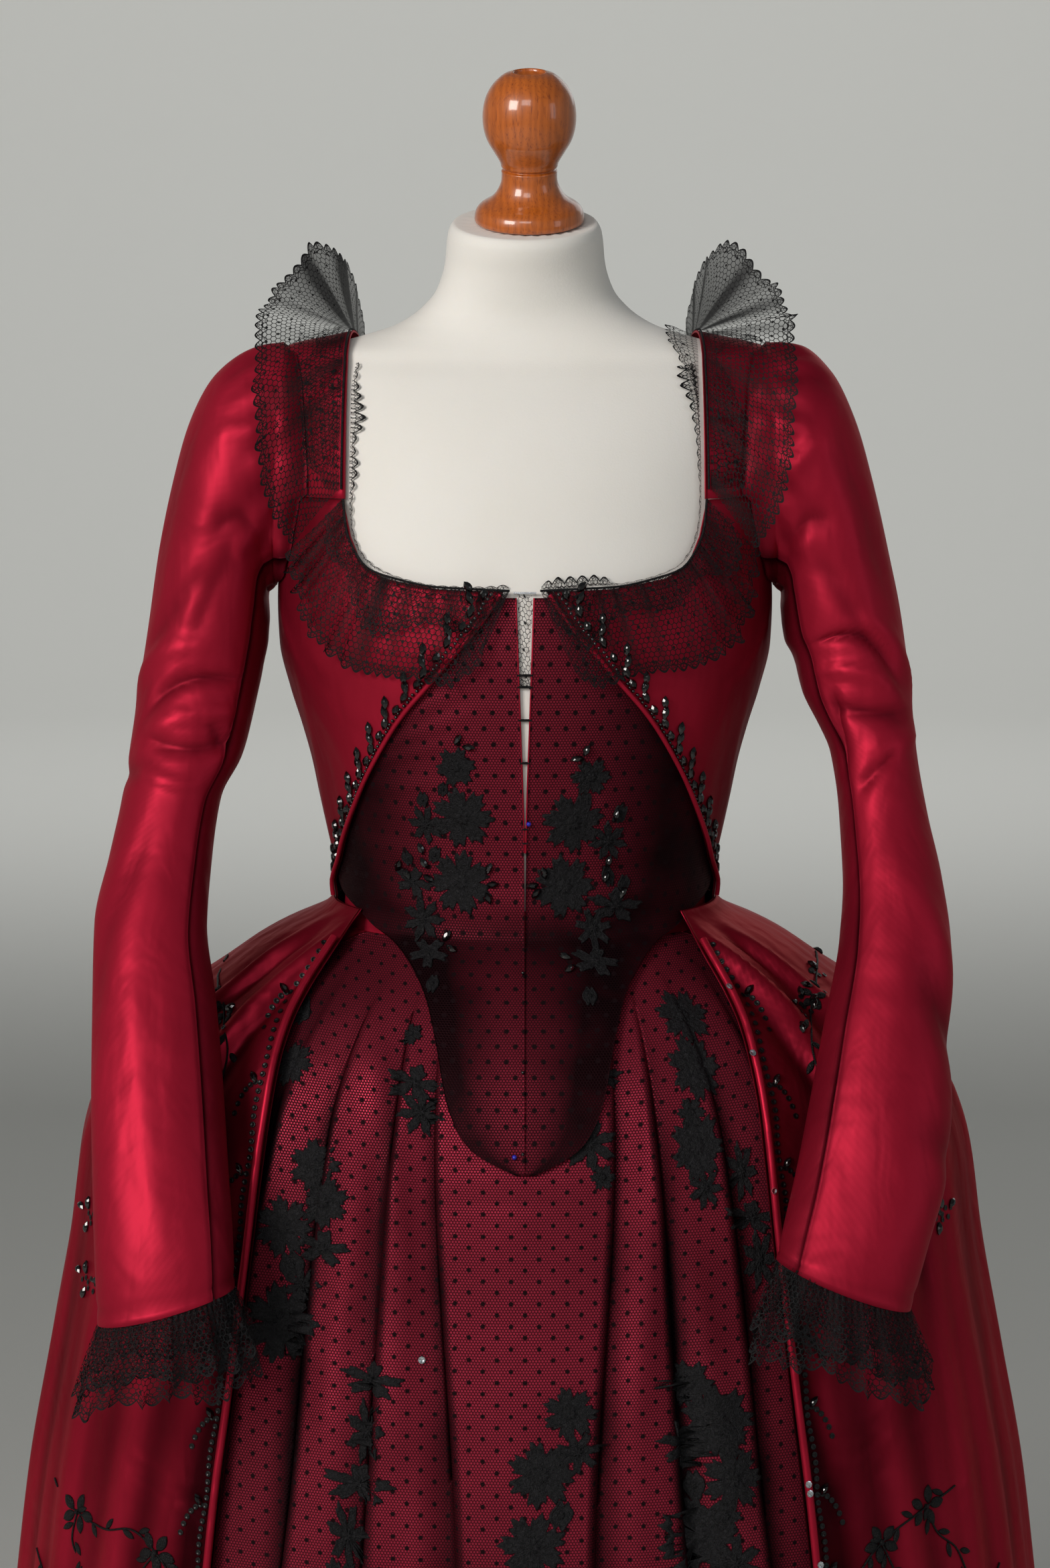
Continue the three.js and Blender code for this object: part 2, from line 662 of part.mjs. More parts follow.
function strap({ side, word }) {
  const inside = (u, v) => {
    const s = mix(-1, 1, v);
    const back = smoothstep(v, 0.3, 1);
    const outer = mix(mix(STRAP.outer, STRAP.outerBack, back), STRAP.outerTop, 1 - s * s);
    const x = mix(mix(STRAP.inner, STRAP.innerBack, back), outer, u);
    return onStrap(x, s, BODICE_LIFT);
  };
  return clothWall(`shoulder_strap_${word}`, crimsonSatin, inside, {
    across: 4, along: 14, thickness: SATIN, side,
  });
}

function piping({ side, word }) {
  const points = [];
  for (let z = WAIST + 3; z < NECK_EDGE - 2; z += PIPING_STEP) {
    const place = onBodice(frontEdgeAngle(z), z, SATIN + PIPING_RADIUS + SEAM_GAP);
    points.push(place.setX(place.x * side));
  }
  return tube(`bodice_piping_${word}`, crimsonSatin, points, PIPING_RADIUS, 18, 6);
}

// ---------------------------------------------------------------- sleeves
function sleeveRing(rows, v) {
  const places = rows.map((row, i) => ({ ...row, at: i / (rows.length - 1) }));
  const ring = {};
  for (const key of Object.keys(rows[0])) ring[key] = curve(places, 'at', key)(v);
  return ring;
}
// A point on a ring: turn 0 is the inner edge, 90 the front, 180 the outer edge.
function onRing(ring, turn, lift) {
  const middle = new THREE.Vector3((ring.outerX + ring.innerX) / 2, ring.y, (ring.outerZ + ring.innerZ) / 2);
  const arm = new THREE.Vector3(ring.innerX - ring.outerX, 0, ring.innerZ - ring.outerZ);
  const half = arm.length() / 2;
  arm.normalize();
  middle.addScaledVector(arm, (half + lift) * Math.cos(turn));
  middle.y -= (ring.depth / 2 + lift) * Math.sin(turn);
  return middle;
}
function creaseDepth(v, turn) {
  let sum = 0;
  for (const crease of SLEEVE_CREASES) {
    const off = Math.atan2(Math.sin(turn - radians(crease.round)), Math.cos(turn - radians(crease.round)));
    const slant = (v - crease.along - 0.012 * Math.sin(2 * off)) / crease.spread;
    const wide = off / radians(crease.turn);
    sum += crease.depth * Math.exp(-slant * slant - wide * wide);
  }
  return sum;
}

function sleevePieces({ side, word }) {
  const rings = SLEEVE[word];
  const inside = (from, to) => (u, v) => {
    const turn = radians(mix(from, to, u));
    return onRing(sleeveRing(rings, v), turn, -SATIN - creaseDepth(v, turn));
  };
  const gap = SLEEVE_SEAM_TURN;
  const ends = [SLEEVE_SEAM, SLEEVE_SEAM + 180, SLEEVE_SEAM + 360];
  const shape = { across: 8, along: 13, thickness: SATIN, side };
  return [
    clothWall(`sleeve_upper_${word}`, crimsonSatin, inside(ends[0] + gap, ends[1] - gap), shape),
    clothWall(`sleeve_under_${word}`, crimsonSatin, inside(ends[1] + gap, ends[2] - gap), shape),
  ];
}

// ---------------------------------------------------------------- lace
function cuffRuffle({ side, word }) {
  const rows = SLEEVE[word];
  const start = rows[rows.length - 1];
  const inside = (u, v) => {
    const turn = 2 * Math.PI * u;
    const ring = {};
    for (const key of Object.keys(start)) ring[key] = mix(start[key], CUFF[word][key], v);
    const wave = 4.5 * v * Math.cos(CUFF_WAVES * turn);
    const place = onRing(ring, turn, wave - LACE);
    place.z -= SEAM_GAP + 0.2;
    return place;
  };
  return clothWall(`cuff_ruffle_${word}`, blackLace, inside, {
    across: 2 * CUFF_WAVES, along: 2, thickness: LACE, closed: true, side,
  });
}

function neckRuffleFront({ side, word }) {
  const rows = NECK_RUFFLE.map((row, i) => ({ ...row, at: i / (NECK_RUFFLE.length - 1) }));
  const read = Object.fromEntries(Object.keys(NECK_RUFFLE[0]).map((key) => [key, curve(rows, 'at', key)]));
  const inside = (u, v) => {
    const x = mix(read.x(u), read.edgeX(u), v);
    const z = mix(read.z(u), read.edgeZ(u), v);
    const wave = NECK_WAVE_DEPTH * v * (1 - Math.cos(2 * Math.PI * NECK_WAVES * u));
    const lift = SATIN + 2.6 * PIPING_RADIUS * (1 - smoothstep(u, 0.5, 0.8)) + 1 + read.lift(u) * v;
    return onBodice(formAt.angleAt(x, z), z, lift + wave);
  };
  return clothWall(`neck_ruffle_front_${word}`, blackLace, inside, {
    across: 2 * NECK_WAVES, along: 3, thickness: LACE, side, out: -1,
  });
}

function neckRuffleShoulder({ side, word }) {
  const rows = SHOULDER_RUFFLE.map((row, i) => ({ ...row, at: i / (SHOULDER_RUFFLE.length - 1) }));
  const read = Object.fromEntries(Object.keys(rows[0]).map((key) => [key, curve(rows, 'at', key)]));
  const sewn = (u) => {
    const { frontX, backX, from, to, lift } = SHOULDER_SEWN;
    return onStrap(mix(frontX, backX, smoothstep(u, 0.3, 1)), mix(from, to, u), BODICE_LIFT + SATIN + lift);
  };
  const inside = (u, v) => {
    const edge = new THREE.Vector3(read.edgeX(u), read.edgeY(u), read.edgeZ(u));
    const away = new THREE.Vector3(0.35, -0.6 + 1.1 * u, 0.75).normalize();
    const wave = SHOULDER_WAVE_DEPTH * v * (1 - Math.cos(2 * Math.PI * SHOULDER_WAVES * u));
    return sewn(u).lerp(edge, v).addScaledVector(away, wave + SHOULDER_BELLY * v * (1 - v));
  };
  return clothWall(`neck_ruffle_shoulder_${word}`, blackLace, inside, {
    across: 2 * SHOULDER_WAVES, along: 3, thickness: LACE, side, out: -1,
  });
}

function neckRuffleBack() {
  const { top, fall, reach, lift, flare } = BACK_RUFFLE;
  const inside = (u, v) => {
    const angle = Math.PI + radians(reach) * (2 * u - 1);
    const wave = NECK_WAVE_DEPTH * v * (1 - Math.cos(2 * Math.PI * BACK_WAVES * u));
    return onBodice(angle, top - fall * v, SATIN + lift + flare * v + wave);
  };
  return clothWall('neck_ruffle_back', blackLace, inside, {
    across: 2 * BACK_WAVES, along: 2, thickness: LACE, out: -1,
  });
}

// ---------------------------------------------------------------- petticoat
function petticoatBand() {
  const inside = (u, v) => onForm(2 * Math.PI * u, mix(BAND_BOTTOM, BAND_TOP, v), 0.4);
  return clothWall('petticoat_band', crimsonSatin, inside, {
    across: 32, along: 1, thickness: SKIRT_CLOTH, closed: true, level: true,
  });
}

const foldAt = (fold, z) => {
  const at = (key) => runs(PLEATS.map((row, i) => ({ i, x: row[key] })), 'i', 'x')(fold);
  const places = Object.keys(PLEAT_HEIGHTS).map((key) => ({ z: PLEAT_HEIGHTS[key], x: at(key) }));
  return curve([...places, { z: BAND_BOTTOM, x: at('hip') * 0.72 }], 'z', 'x')(z);
};
const SKIRT_ROWS = [1037.7, 1028, 1014, 998, 978, 952, 918, 870, 790, 670, 500, 280, HEM];
const PETTICOAT_ROWS = [1021.7, 1012, 999, 982, 958, 926, 885, 810, 690, 520, 300, PETTICOAT_HEM];
const rowsOf = (heights) => {
  const [top, bottom] = [heights[0], heights[heights.length - 1]];
  return { top, bottom, rows: heights.map((z) => (top - z) / (top - bottom)) };
};

const pleatFade = (z) => smoothstep(PLEAT_TOP - z, 0, PLEAT_FADE);

function petticoatFront() {
  const { top, bottom, rows } = rowsOf(PETTICOAT_ROWS);
  const half = PLEAT_STATIONS.map((station, i) => ({ ...station, i }));
  const count = half.length - 1;
  const fold = runs(half, 'i', 'fold');
  const rise = runs(half, 'i', 'rise');
  const inside = (u, v) => {
    const z = mix(top, bottom, v);
    const signed = (2 * u - 1) * count;
    const x = foldAt(fold(Math.abs(signed)), z) * Math.sign(signed);
    const lift = PLEAT_RISE * rise(Math.abs(signed)) * pleatFade(z);
    return onPetticoat(Math.sign(x) * petticoatAt.angleAt(Math.abs(x), z), z, lift);
  };
  return clothWall('petticoat_front', dottedTulle, inside, {
    across: 2 * count, along: rows.length - 1, rows, thickness: SKIRT_CLOTH, out: -1, level: true,
  });
}

function petticoatBack() {
  const { top, bottom, rows } = rowsOf(PETTICOAT_ROWS);
  const last = PLEATS.length - 1;
  const inside = (u, v) => {
    const z = mix(top, bottom, v);
    const start = petticoatAt.angleAt(foldAt(last, z), z) + SIDE_GAP / petticoatAt.half(z);
    const angle = mix(start, 2 * Math.PI - start, u);
    const wave = BACK_FOLD_DEPTH * (1 - Math.cos(2 * Math.PI * BACK_FOLDS * u)) * 0.5;
    const edge = PLEAT_RISE * PLEAT_STATIONS[PLEAT_STATIONS.length - 1].rise * pleatFade(z);
    return onPetticoat(angle, z, edge + wave * smoothstep(1000 - z, 0, 700));
  };
  return clothWall('petticoat_back', crimsonSatin, inside, {
    across: 2 * BACK_FOLDS, along: rows.length - 1, rows, thickness: SKIRT_CLOTH, out: -1,
    level: true,
  });
}

// ---------------------------------------------------------------- overskirt
const skirtEdge = { right: curve(FRONT_EDGE, 'z', 'right'), left: curve(FRONT_EDGE, 'z', 'left') };
const edgeAngle = (word, z) => overskirtAt.angleAt(skirtEdge[word](z), z);

// The overskirt's soft folds: slight at the front edge and the hip, full at the back and the hem.
function foldLift(u, z) {
  const fall = WAIST - 1 - z;
  const full = mix(0.2, 1, smoothstep(u, 0.12, 0.5));
  const depth = OVERSKIRT_DEPTH.waist * smoothstep(fall, 2, 40)
    + OVERSKIRT_DEPTH.hem * smoothstep(fall, 90, 900);
  return depth * full * (1 - Math.cos(2 * Math.PI * OVERSKIRT_FOLDS * u)) * 0.5;
}

function overskirt({ side, word }) {
  const { top, bottom, rows } = rowsOf(SKIRT_ROWS);
  const inside = (u, v) => {
    const z = mix(top, bottom, v);
    const angle = mix(edgeAngle(word, z), Math.PI - CENTRE_BACK_GAP / overskirtAt.half(z), u);
    return onOverskirt(angle, z, foldLift(u, z));
  };
  return clothWall(`overskirt_${word}`, crimsonSatin, inside, {
    across: 2 * OVERSKIRT_FOLDS, along: rows.length - 1, rows, thickness: SKIRT_CLOTH, side, out: -1,
    level: true,
  });
}

function overskirtRoll({ side, word }) {
  const points = [];
  for (const z of [1016, 1002, 984, 964, 940, 910, 870, 820, 760, 680, 560, 400, 220, HEM + 8]) {
    const angle = edgeAngle(word, z) + (ROLL_RADIUS + 1.5) / overskirtAt.half(z);
    const place = onOverskirt(angle, z, SKIRT_CLOTH + ROLL_RADIUS + 1.6);
    points.push(place.setX(place.x * side));
  }
  return tube(`overskirt_roll_${word}`, crimsonSatin, points, ROLL_RADIUS, 20, 8);
}

// ---------------------------------------------------------------- the whole
add(formTorso(), neckKnob(), ...stand());
add(petticoatBand(), petticoatFront(), petticoatBack(), neckRuffleBack());
for (const hand of SIDES) {
  add(stomacher(hand), bodiceFront(hand), bodiceBack(hand), strap(hand), piping(hand));
  add(...sleevePieces(hand), cuffRuffle(hand), neckRuffleFront(hand), neckRuffleShoulder(hand));
  add(overskirt(hand), overskirtRoll(hand));
}

export default group;
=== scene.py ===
# %% [markdown]
# # A robe a l'anglaise on its dress form
# This is an eighteenth-century gown: a fitted satin bodice that closes over two stomacher halves,
# an open overskirt, a pleated petticoat under it, long two-piece sleeves and black lace
# ruffles.  It is worn on a limbless form of cream jersey with a turned wooden neck knob.
#
# A gown could be modelled by draping flat cloth in a simulation.  Here each panel is a thin wall
# over a known surface instead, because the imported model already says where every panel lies, and
# a wall that is worked out from the same tables fits it without any guessing.

# %% Load the frame
import bpy
import numpy as np
from mathutils import Matrix


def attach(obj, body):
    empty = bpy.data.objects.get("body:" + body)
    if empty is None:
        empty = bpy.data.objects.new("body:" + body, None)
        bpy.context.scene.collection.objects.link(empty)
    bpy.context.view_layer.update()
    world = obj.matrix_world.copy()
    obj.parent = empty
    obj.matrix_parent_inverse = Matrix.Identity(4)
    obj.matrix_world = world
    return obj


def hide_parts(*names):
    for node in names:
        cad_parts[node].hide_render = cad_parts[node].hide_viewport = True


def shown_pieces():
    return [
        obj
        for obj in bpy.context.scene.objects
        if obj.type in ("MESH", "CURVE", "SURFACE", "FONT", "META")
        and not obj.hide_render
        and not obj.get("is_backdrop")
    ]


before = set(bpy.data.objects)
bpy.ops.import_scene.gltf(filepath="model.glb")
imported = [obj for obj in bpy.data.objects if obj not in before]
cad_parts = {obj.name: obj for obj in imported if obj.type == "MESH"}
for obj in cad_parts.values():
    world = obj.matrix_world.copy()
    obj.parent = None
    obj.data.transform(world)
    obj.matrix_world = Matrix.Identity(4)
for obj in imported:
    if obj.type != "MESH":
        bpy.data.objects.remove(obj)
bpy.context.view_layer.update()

# %% [markdown]
# ## Small tools
# Every size below is in millimetres, as on a pattern cutter's table, and is turned to metres
# where a mesh is made.  Tables have one named column for each measure.  A smooth curve through a
# column gives the measure at any height, and it never overshoots the rows.

# %% Tables and curves
MM = 0.001
SIDE_WORDS = ((-1, "right"), (1, "left"))  # the wearer's right is at -X


def table(names, rows):
    keys = names.split()
    return [dict(zip(keys, row)) for row in rows]


def column(rows, key):
    return np.array([row[key] for row in rows], float)


def smooth_curve(rows, key, value):
    order = np.argsort(column(rows, key))
    xs, ys = column(rows, key)[order], column(rows, value)[order]
    chords = np.diff(ys) / np.diff(xs)
    before, after = chords[:-1], chords[1:]
    slopes = np.concatenate([chords[:1], np.zeros(len(before)), chords[-1:]])
    same = before * after > 0
    slopes[1:-1][same] = (2 * before * after)[same] / (before + after)[same]

    def read(at):
        x = np.clip(at, xs[0], xs[-1])
        i = np.clip(np.searchsorted(xs, x, side="right") - 1, 0, len(chords) - 1)
        h = xs[i + 1] - xs[i]
        t = (x - xs[i]) / h
        rest = 1 - t
        return (ys[i] * (1 + 2 * t) * rest**2 + slopes[i] * h * t * rest**2
                + ys[i + 1] * t**2 * (3 - 2 * t) - slopes[i + 1] * h * t**2 * rest)

    return read


def by_share(rows):
    """A curve for each column, read by how far down the table one is, from 0 to 1."""
    places = [dict(row, at=i / (len(rows) - 1)) for i, row in enumerate(rows)]
    return {key: smooth_curve(places, "at", key) for key in rows[0]}


def straight(rows, key, value):
    xs, ys = column(rows, key), column(rows, value)
    return lambda at: np.interp(at, xs, ys)


def ease(x, low, high):
    t = np.clip((x - low) / (high - low), 0, 1)
    return t * t * (3 - 2 * t)


def bell(x, width):
    return np.exp(-(x / width) ** 2)


def mix(a, b, t):
    return a + (b - a) * t


def columns(count):
    return np.linspace(0, 1, count)[None, :]


def rows_of(count):
    return np.linspace(0, 1, count)[:, None]


def unit(vectors):
    return vectors / np.maximum(np.linalg.norm(vectors, axis=-1, keepdims=True), 1e-9)


# %% [markdown]
# ## The surfaces
# The form, the petticoat and the overskirt are stacks of rings.  Each row gives a ring's height,
# half its width, its depth to the front and to the back, and how full ("square") it is.  A point
# is named by its angle round from centre front and its height, and `lifted` moves it out along
# the surface's own normal, which is how one layer of cloth is laid over another.

# %% Ring tables
FORM = table("z half front back shift tilt", [
    [885, 150, 90, 108, 4, 0], [930, 152, 94, 114, 4, 0], [975, 143, 93, 106, 3, 0],
    [1010, 131, 92, 96, 1, 0], [1038, 126, 94, 90, 0, 0], [1057, 129, 96, 91, 0, 0],
    [1087, 135.5, 100, 92, 0, 0], [1113, 141, 104, 93, 0, 0], [1138, 146, 108, 95, 0, 0],
    [1164, 153, 113, 97, 0, 0], [1190, 161, 117, 99, 0, 0], [1221, 168, 120, 101, 0, 0],
    [1249, 169, 117, 102, 0, 0], [1275, 168, 110, 103, 0, 0], [1300, 167, 104, 102, 1, 0],
    [1340, 168, 95, 98, 3, 0], [1380, 171, 80, 86, 5, 0], [1405, 171, 65, 72, 7, 0],
    [1421, 166, 52, 58, 8, 0], [1433, 118, 48, 54, 8, 0], [1442, 90, 46, 53, 7, 1],
    [1453, 73, 45, 52, 5, 3], [1466, 62, 46, 52, 2, 6], [1484, 56, 48, 52, -3, 10],
    [1506, 53, 50, 52, -10, 14], [1512, 50, 47, 49, -12, 14],
])
PETTICOAT = table("z half front back square", [
    [1021.7, 131.5, 97.5, 97.5, 2], [1012, 150, 106, 110, 2], [1000, 174, 120, 132, 2],
    [984, 202, 138, 160, 2], [965, 230, 154, 188, 2], [940, 260, 170, 217, 2],
    [899, 289, 187, 246, 2], [860, 300, 200, 263, 2], [800, 307, 214, 281, 2],
    [716, 321, 236, 301, 2.05], [633, 335, 253, 323, 2.1], [540, 345, 265, 341, 2.15],
    [300, 376, 295, 376, 2.2], [24, 412, 322, 416, 2.2],
])
OVERSKIRT = table("z half front back square", [
    [1037.7, 134.4, 102.4, 98.4, 2], [1030, 142, 109, 107, 2], [1016, 169, 122, 128, 2],
    [1004, 188, 133, 148, 2], [984, 216, 151, 178, 2], [965, 244, 167, 206, 2],
    [940, 274, 183, 234, 2], [899, 303, 201, 263, 2], [860, 314, 214, 281, 2],
    [800, 321, 228, 298, 2], [716, 335, 250, 319, 2.05], [633, 349, 267, 341, 2.1],
    [540, 360, 280, 359, 2.15], [300, 392, 310, 395, 2.2], [20, 430, 338, 437, 2.2],
])


class RingSurface:
    def __init__(self, rows):
        self.read = {key: smooth_curve(rows, "z", key) for key in rows[0] if key != "z"}

    def measure(self, key, z, otherwise=0.0):
        return self.read[key](z) if key in self.read else otherwise

    def at(self, angle, z):
        angle, z = np.broadcast_arrays(np.asarray(angle, float), np.asarray(z, float))
        sine, cosine = np.sin(angle), np.cos(angle)
        power = 2 / self.measure("square", z, 2.0)
        depth = np.where(cosine > 0, self.read["front"](z), self.read["back"](z))
        x = self.read["half"](z) * np.sign(sine) * np.abs(sine) ** power
        y = -depth * np.sign(cosine) * np.abs(cosine) ** power
        tilt = np.tan(np.radians(self.measure("tilt", z)))
        return np.stack([x, y + self.measure("shift", z), z + y * tilt], axis=-1)

    def lifted(self, angle, z, lift):
        step, rise = 0.01, 1.0
        across = self.at(angle + step, z) - self.at(angle - step, z)
        up = self.at(angle, z + rise) - self.at(angle, z - rise)
        lift = np.asarray(lift, float)[..., None]
        return self.at(angle, z) + unit(np.cross(across, up)) * lift

    def angle_at(self, x, z):
        share = np.clip(x / self.read["half"](z), 0, 1)
        return np.arcsin(share ** (self.measure("square", z, 2.0) / 2))

    def either_side(self, x, z):
        return np.sign(x) * self.angle_at(np.abs(x), z)


form_surface = RingSurface(FORM)
petticoat_surface = RingSurface(PETTICOAT)
overskirt_surface = RingSurface(OVERSKIRT)
print("waist of the form:", form_surface.at(np.pi / 2, 1038).round(1), "mm")

# %% [markdown]
# ## Meshes from grids
# A panel starts as a grid of points: rows run down the cloth and columns run across it.  The
# solid wall is that grid, a second one moved out by the cloth's thickness, and rims between
# them.  Its UV map is the distance along the cloth in metres, so that a weave or a printed dot
# keeps its true size and follows the cloth.  A wall that came out inside out has a negative
# volume, and is turned.


# %% Grids, walls and panels
def grid_normals(points, closed=False):
    across = np.gradient(points, axis=1)
    if closed:
        across = (np.roll(points, -1, axis=1) - np.roll(points, 1, axis=1)) / 2
    return unit(np.cross(across, np.gradient(points, axis=0)))


def lengths_along(points, axis):
    steps = np.linalg.norm(np.diff(points, axis=axis), axis=-1)
    first = np.zeros_like(np.take(points[..., 0], [0], axis=axis))
    return np.concatenate([first, np.cumsum(steps, axis=axis)], axis=axis)


def cloth_uv(points, middle=0):
    across, down = lengths_along(points, 1), lengths_along(points, 0)[:, middle][:, None]
    return np.stack([across - across[:, middle][:, None], -down + 0 * across], axis=-1)


def strips(ids, uv):
    """The quads of a grid of vertex numbers, and each corner's place in the uv grid."""
    corners = [(slice(None, -1), slice(None, -1)), (slice(None, -1), slice(1, None)),
               (slice(1, None), slice(1, None)), (slice(1, None), slice(None, -1))]
    quads = np.stack([ids[c] for c in corners], axis=-1).reshape(-1, 4)
    places = np.stack([uv[c] for c in corners], axis=-2).reshape(-1, 4, 2)
    return quads, places


def placed(name, data):
    thing = bpy.data.objects.new(name, data)
    bpy.context.scene.collection.objects.link(thing)
    return thing


def plain_mesh(name, points, faces, finish=None, smooth=True):
    mesh = bpy.data.meshes.new(name)
    mesh.from_pydata((np.asarray(points) * MM).tolist(), [], faces)
    mesh.polygons.foreach_set("use_smooth", [smooth] * len(mesh.polygons))
    if finish:
        mesh.materials.append(finish)
    return placed(name, mesh)


def piece_from(name, points, quads, places, finish, shade=None, solid=True, fans=()):
    """quads is an array; fans are the triangles of any round lids, which have no pattern."""
    if solid:
        corners = points[quads]
        spanned = sum(np.einsum("ij,ij->i", corners[:, 0], np.cross(corners[:, k], corners[:, k + 1]))
                      for k in range(1, quads.shape[1] - 1))
        if spanned.sum() < 0:
            quads = quads[:, ::-1]
            places = places[:, ::-1]
            fans = [fan[::-1] for fan in fans]
    piece = plain_mesh(name, points, quads.tolist() + [list(fan) for fan in fans], finish)
    mesh = piece.data
    layer = mesh.uv_layers.new(name="Cloth")
    corners = np.concatenate([places.reshape(-1, 2) * MM, np.zeros((3 * len(fans), 2))])
    layer.data.foreach_set("uv", corners.astype(np.float32).ravel())
    if shade is not None:
        stored = mesh.attributes.new("shade", "FLOAT", "POINT")
        stored.data.foreach_set("value", np.asarray(shade, np.float32).ravel())
    return piece


class Panel:
    """A finished panel's outer face, which trimmings are laid on."""

    def __init__(self, points, normals):
        self.points, self.normals = points, normals

    def sample(self, grid, row, col):
        rows, cols = grid.shape[:2]
        row, col = np.clip(row, 0, rows - 1.001), np.clip(col, 0, cols - 1.001)
        i, j = row.astype(int), col.astype(int)
        a, b = (row - i)[..., None], (col - j)[..., None]
        return ((1 - a) * (1 - b) * grid[i, j] + (1 - a) * b * grid[i, j + 1]
                + a * (1 - b) * grid[i + 1, j] + a * b * grid[i + 1, j + 1])

    def find(self, x, z, front=True):
        facing = self.normals[..., 1] < 0.25 if front else self.normals[..., 1] > -0.25
        off = (self.points[..., 0] - x) ** 2 + (self.points[..., 2] - z) ** 2
        row, col = np.unravel_index(np.argmin(np.where(facing, off, 1e9)), off.shape)
        place = np.array([row, col], float)
        for _ in range(4):
            here, by_row, by_col = (self.sample(self.points, place[:1] + a, place[1:] + b)[0]
                                    for a, b in ((0, 0), (0.5, 0), (0, 0.5)))
            slopes = np.stack([by_row - here, by_col - here], axis=1)[[0, 2]] * 2
            if abs(np.linalg.det(slopes)) < 0.05:
                break
            place += np.clip(np.linalg.solve(slopes, np.array([x, z]) - here[[0, 2]]), -1.5, 1.5)
        rows, cols = off.shape
        return float(np.clip(place[0], 0, rows - 1.001)), float(np.clip(place[1], 0, cols - 1.001))

    def frame_at(self, row, col):
        row, col = np.array([row]), np.array([col])
        normal = unit(self.sample(self.normals, row, col))[0]
        right = unit(np.cross(np.array([0, 0, 1.0]), normal))
        return self.sample(self.points, row, col)[0], right, np.cross(normal, right), normal

    def lay(self, row, col, across, up, lift):
        """Points at (across, up) mm from a place on the panel, `lift` mm above the cloth."""
        origin, right, upward, _ = self.frame_at(row, col)
        rows, cols = np.full(across.shape, row), np.full(across.shape, col)
        for _ in range(5):
            here = self.sample(self.points, rows, cols)
            by_row = self.sample(self.points, rows + 0.5, cols) - self.sample(self.points, rows - 0.5, cols)
            by_col = self.sample(self.points, rows, cols + 0.5) - self.sample(self.points, rows, cols - 0.5)
            a, b = by_row @ right, by_col @ right
            c, d = by_row @ upward, by_col @ upward
            miss_a = across - (here - origin) @ right
            miss_b = up - (here - origin) @ upward
            size = a * d - b * c
            size = np.where(np.abs(size) < 0.05, np.where(size < 0, -0.05, 0.05), size)
            rows = rows + np.clip((d * miss_a - b * miss_b) / size, -4, 4)
            cols = cols + np.clip((a * miss_b - c * miss_a) / size, -4, 4)
        normals = unit(self.sample(self.normals, rows, cols))
        return self.sample(self.points, rows, cols) + normals * lift[..., None]


def wall(name, inner, thickness, finish, out=1, side=1, closed=False, level=False, shade=None, middle=0):
    """A closed wall of cloth from its inner grid; returns the piece and its outer face."""
    normals = grid_normals(inner, closed) * out
    if level:
        for row in (0, -1):
            normals[row, :, 2] = 0
            normals[row] = unit(normals[row])
    outer = inner + normals * thickness
    mirror = np.array([side, 1, 1])
    inner, outer, normals = inner * mirror, outer * mirror, normals * mirror
    rows, cols = inner.shape[:2]
    ids = np.arange(rows * cols).reshape(rows, cols)
    shown = outer
    if closed:
        ids = np.concatenate([ids, ids[:, :1]], axis=1)
        shown = np.concatenate([outer, outer[:, :1]], axis=1)
    uv = cloth_uv(shown, middle)
    far = ids + rows * cols
    parts = [strips(ids, uv), strips(far[:, ::-1], uv[:, ::-1])]
    edges = [(ids[0], far[0], uv[0]), (far[-1], ids[-1], uv[-1])]
    if not closed:
        edges += [(far[:, 0], ids[:, 0], uv[:, 0]), (ids[:, -1], far[:, -1], uv[:, -1])]
    parts += [strips(np.stack([a, b]), np.stack([at, at])) for a, b, at in edges]
    quads = np.concatenate([quad for quad, _ in parts])
    places = np.concatenate([place for _, place in parts])
    both = None if shade is None else np.concatenate([shade.ravel(), shade.ravel()])
    piece = piece_from(name, np.concatenate([inner.reshape(-1, 3), outer.reshape(-1, 3)]),
                       quads, places, finish, shade=both)
    return piece, Panel(outer, normals)


# %% [markdown]
# ## Handing a piece to the frame
# Every piece rides on the root body and stands for its solids.  A sheet also says how large the cloth that shows was
# cut: here that is measured along the panel itself, its longest row, its longest column and its area.

# %% Declaring pieces
panels = {}


def hand_over(piece, nodes=(), finish_slot=None):
    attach(piece, "root")
    if nodes:
        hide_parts(*nodes)
    return piece


def declare_cloth(piece, points, closed=False):
    if closed:
        points = np.concatenate([points, points[:, :1]], axis=1)
    width, length = lengths_along(points, 1)[:, -1].max(), lengths_along(points, 0)[-1].max()
    down, over = np.diff(points, axis=0)[:, :-1], np.diff(points, axis=1)[:-1]
    area = np.linalg.norm(np.cross(down, over), axis=-1).sum()
    area = float(np.clip(area, 0.31 * width * length, width * length))
    print(f"{piece.name}: {width:.0f} x {length:.0f} mm of cloth, {area / 1e6:.3f} m2")


def cloth_panel(name, node, inner, thickness, finish, held, rests_on, out=-1, closed=False, **options):
    """A wall of cloth, handed over and declared; its outer face is kept for the trimmings."""
    piece, panels[node] = wall(name, inner, thickness, finish, out, closed=closed, **options)
    hand_over(piece, [node], "dotted_tulle" if "tulle" in finish.name else "crimson_satin")
    declare_cloth(piece, inner, closed)
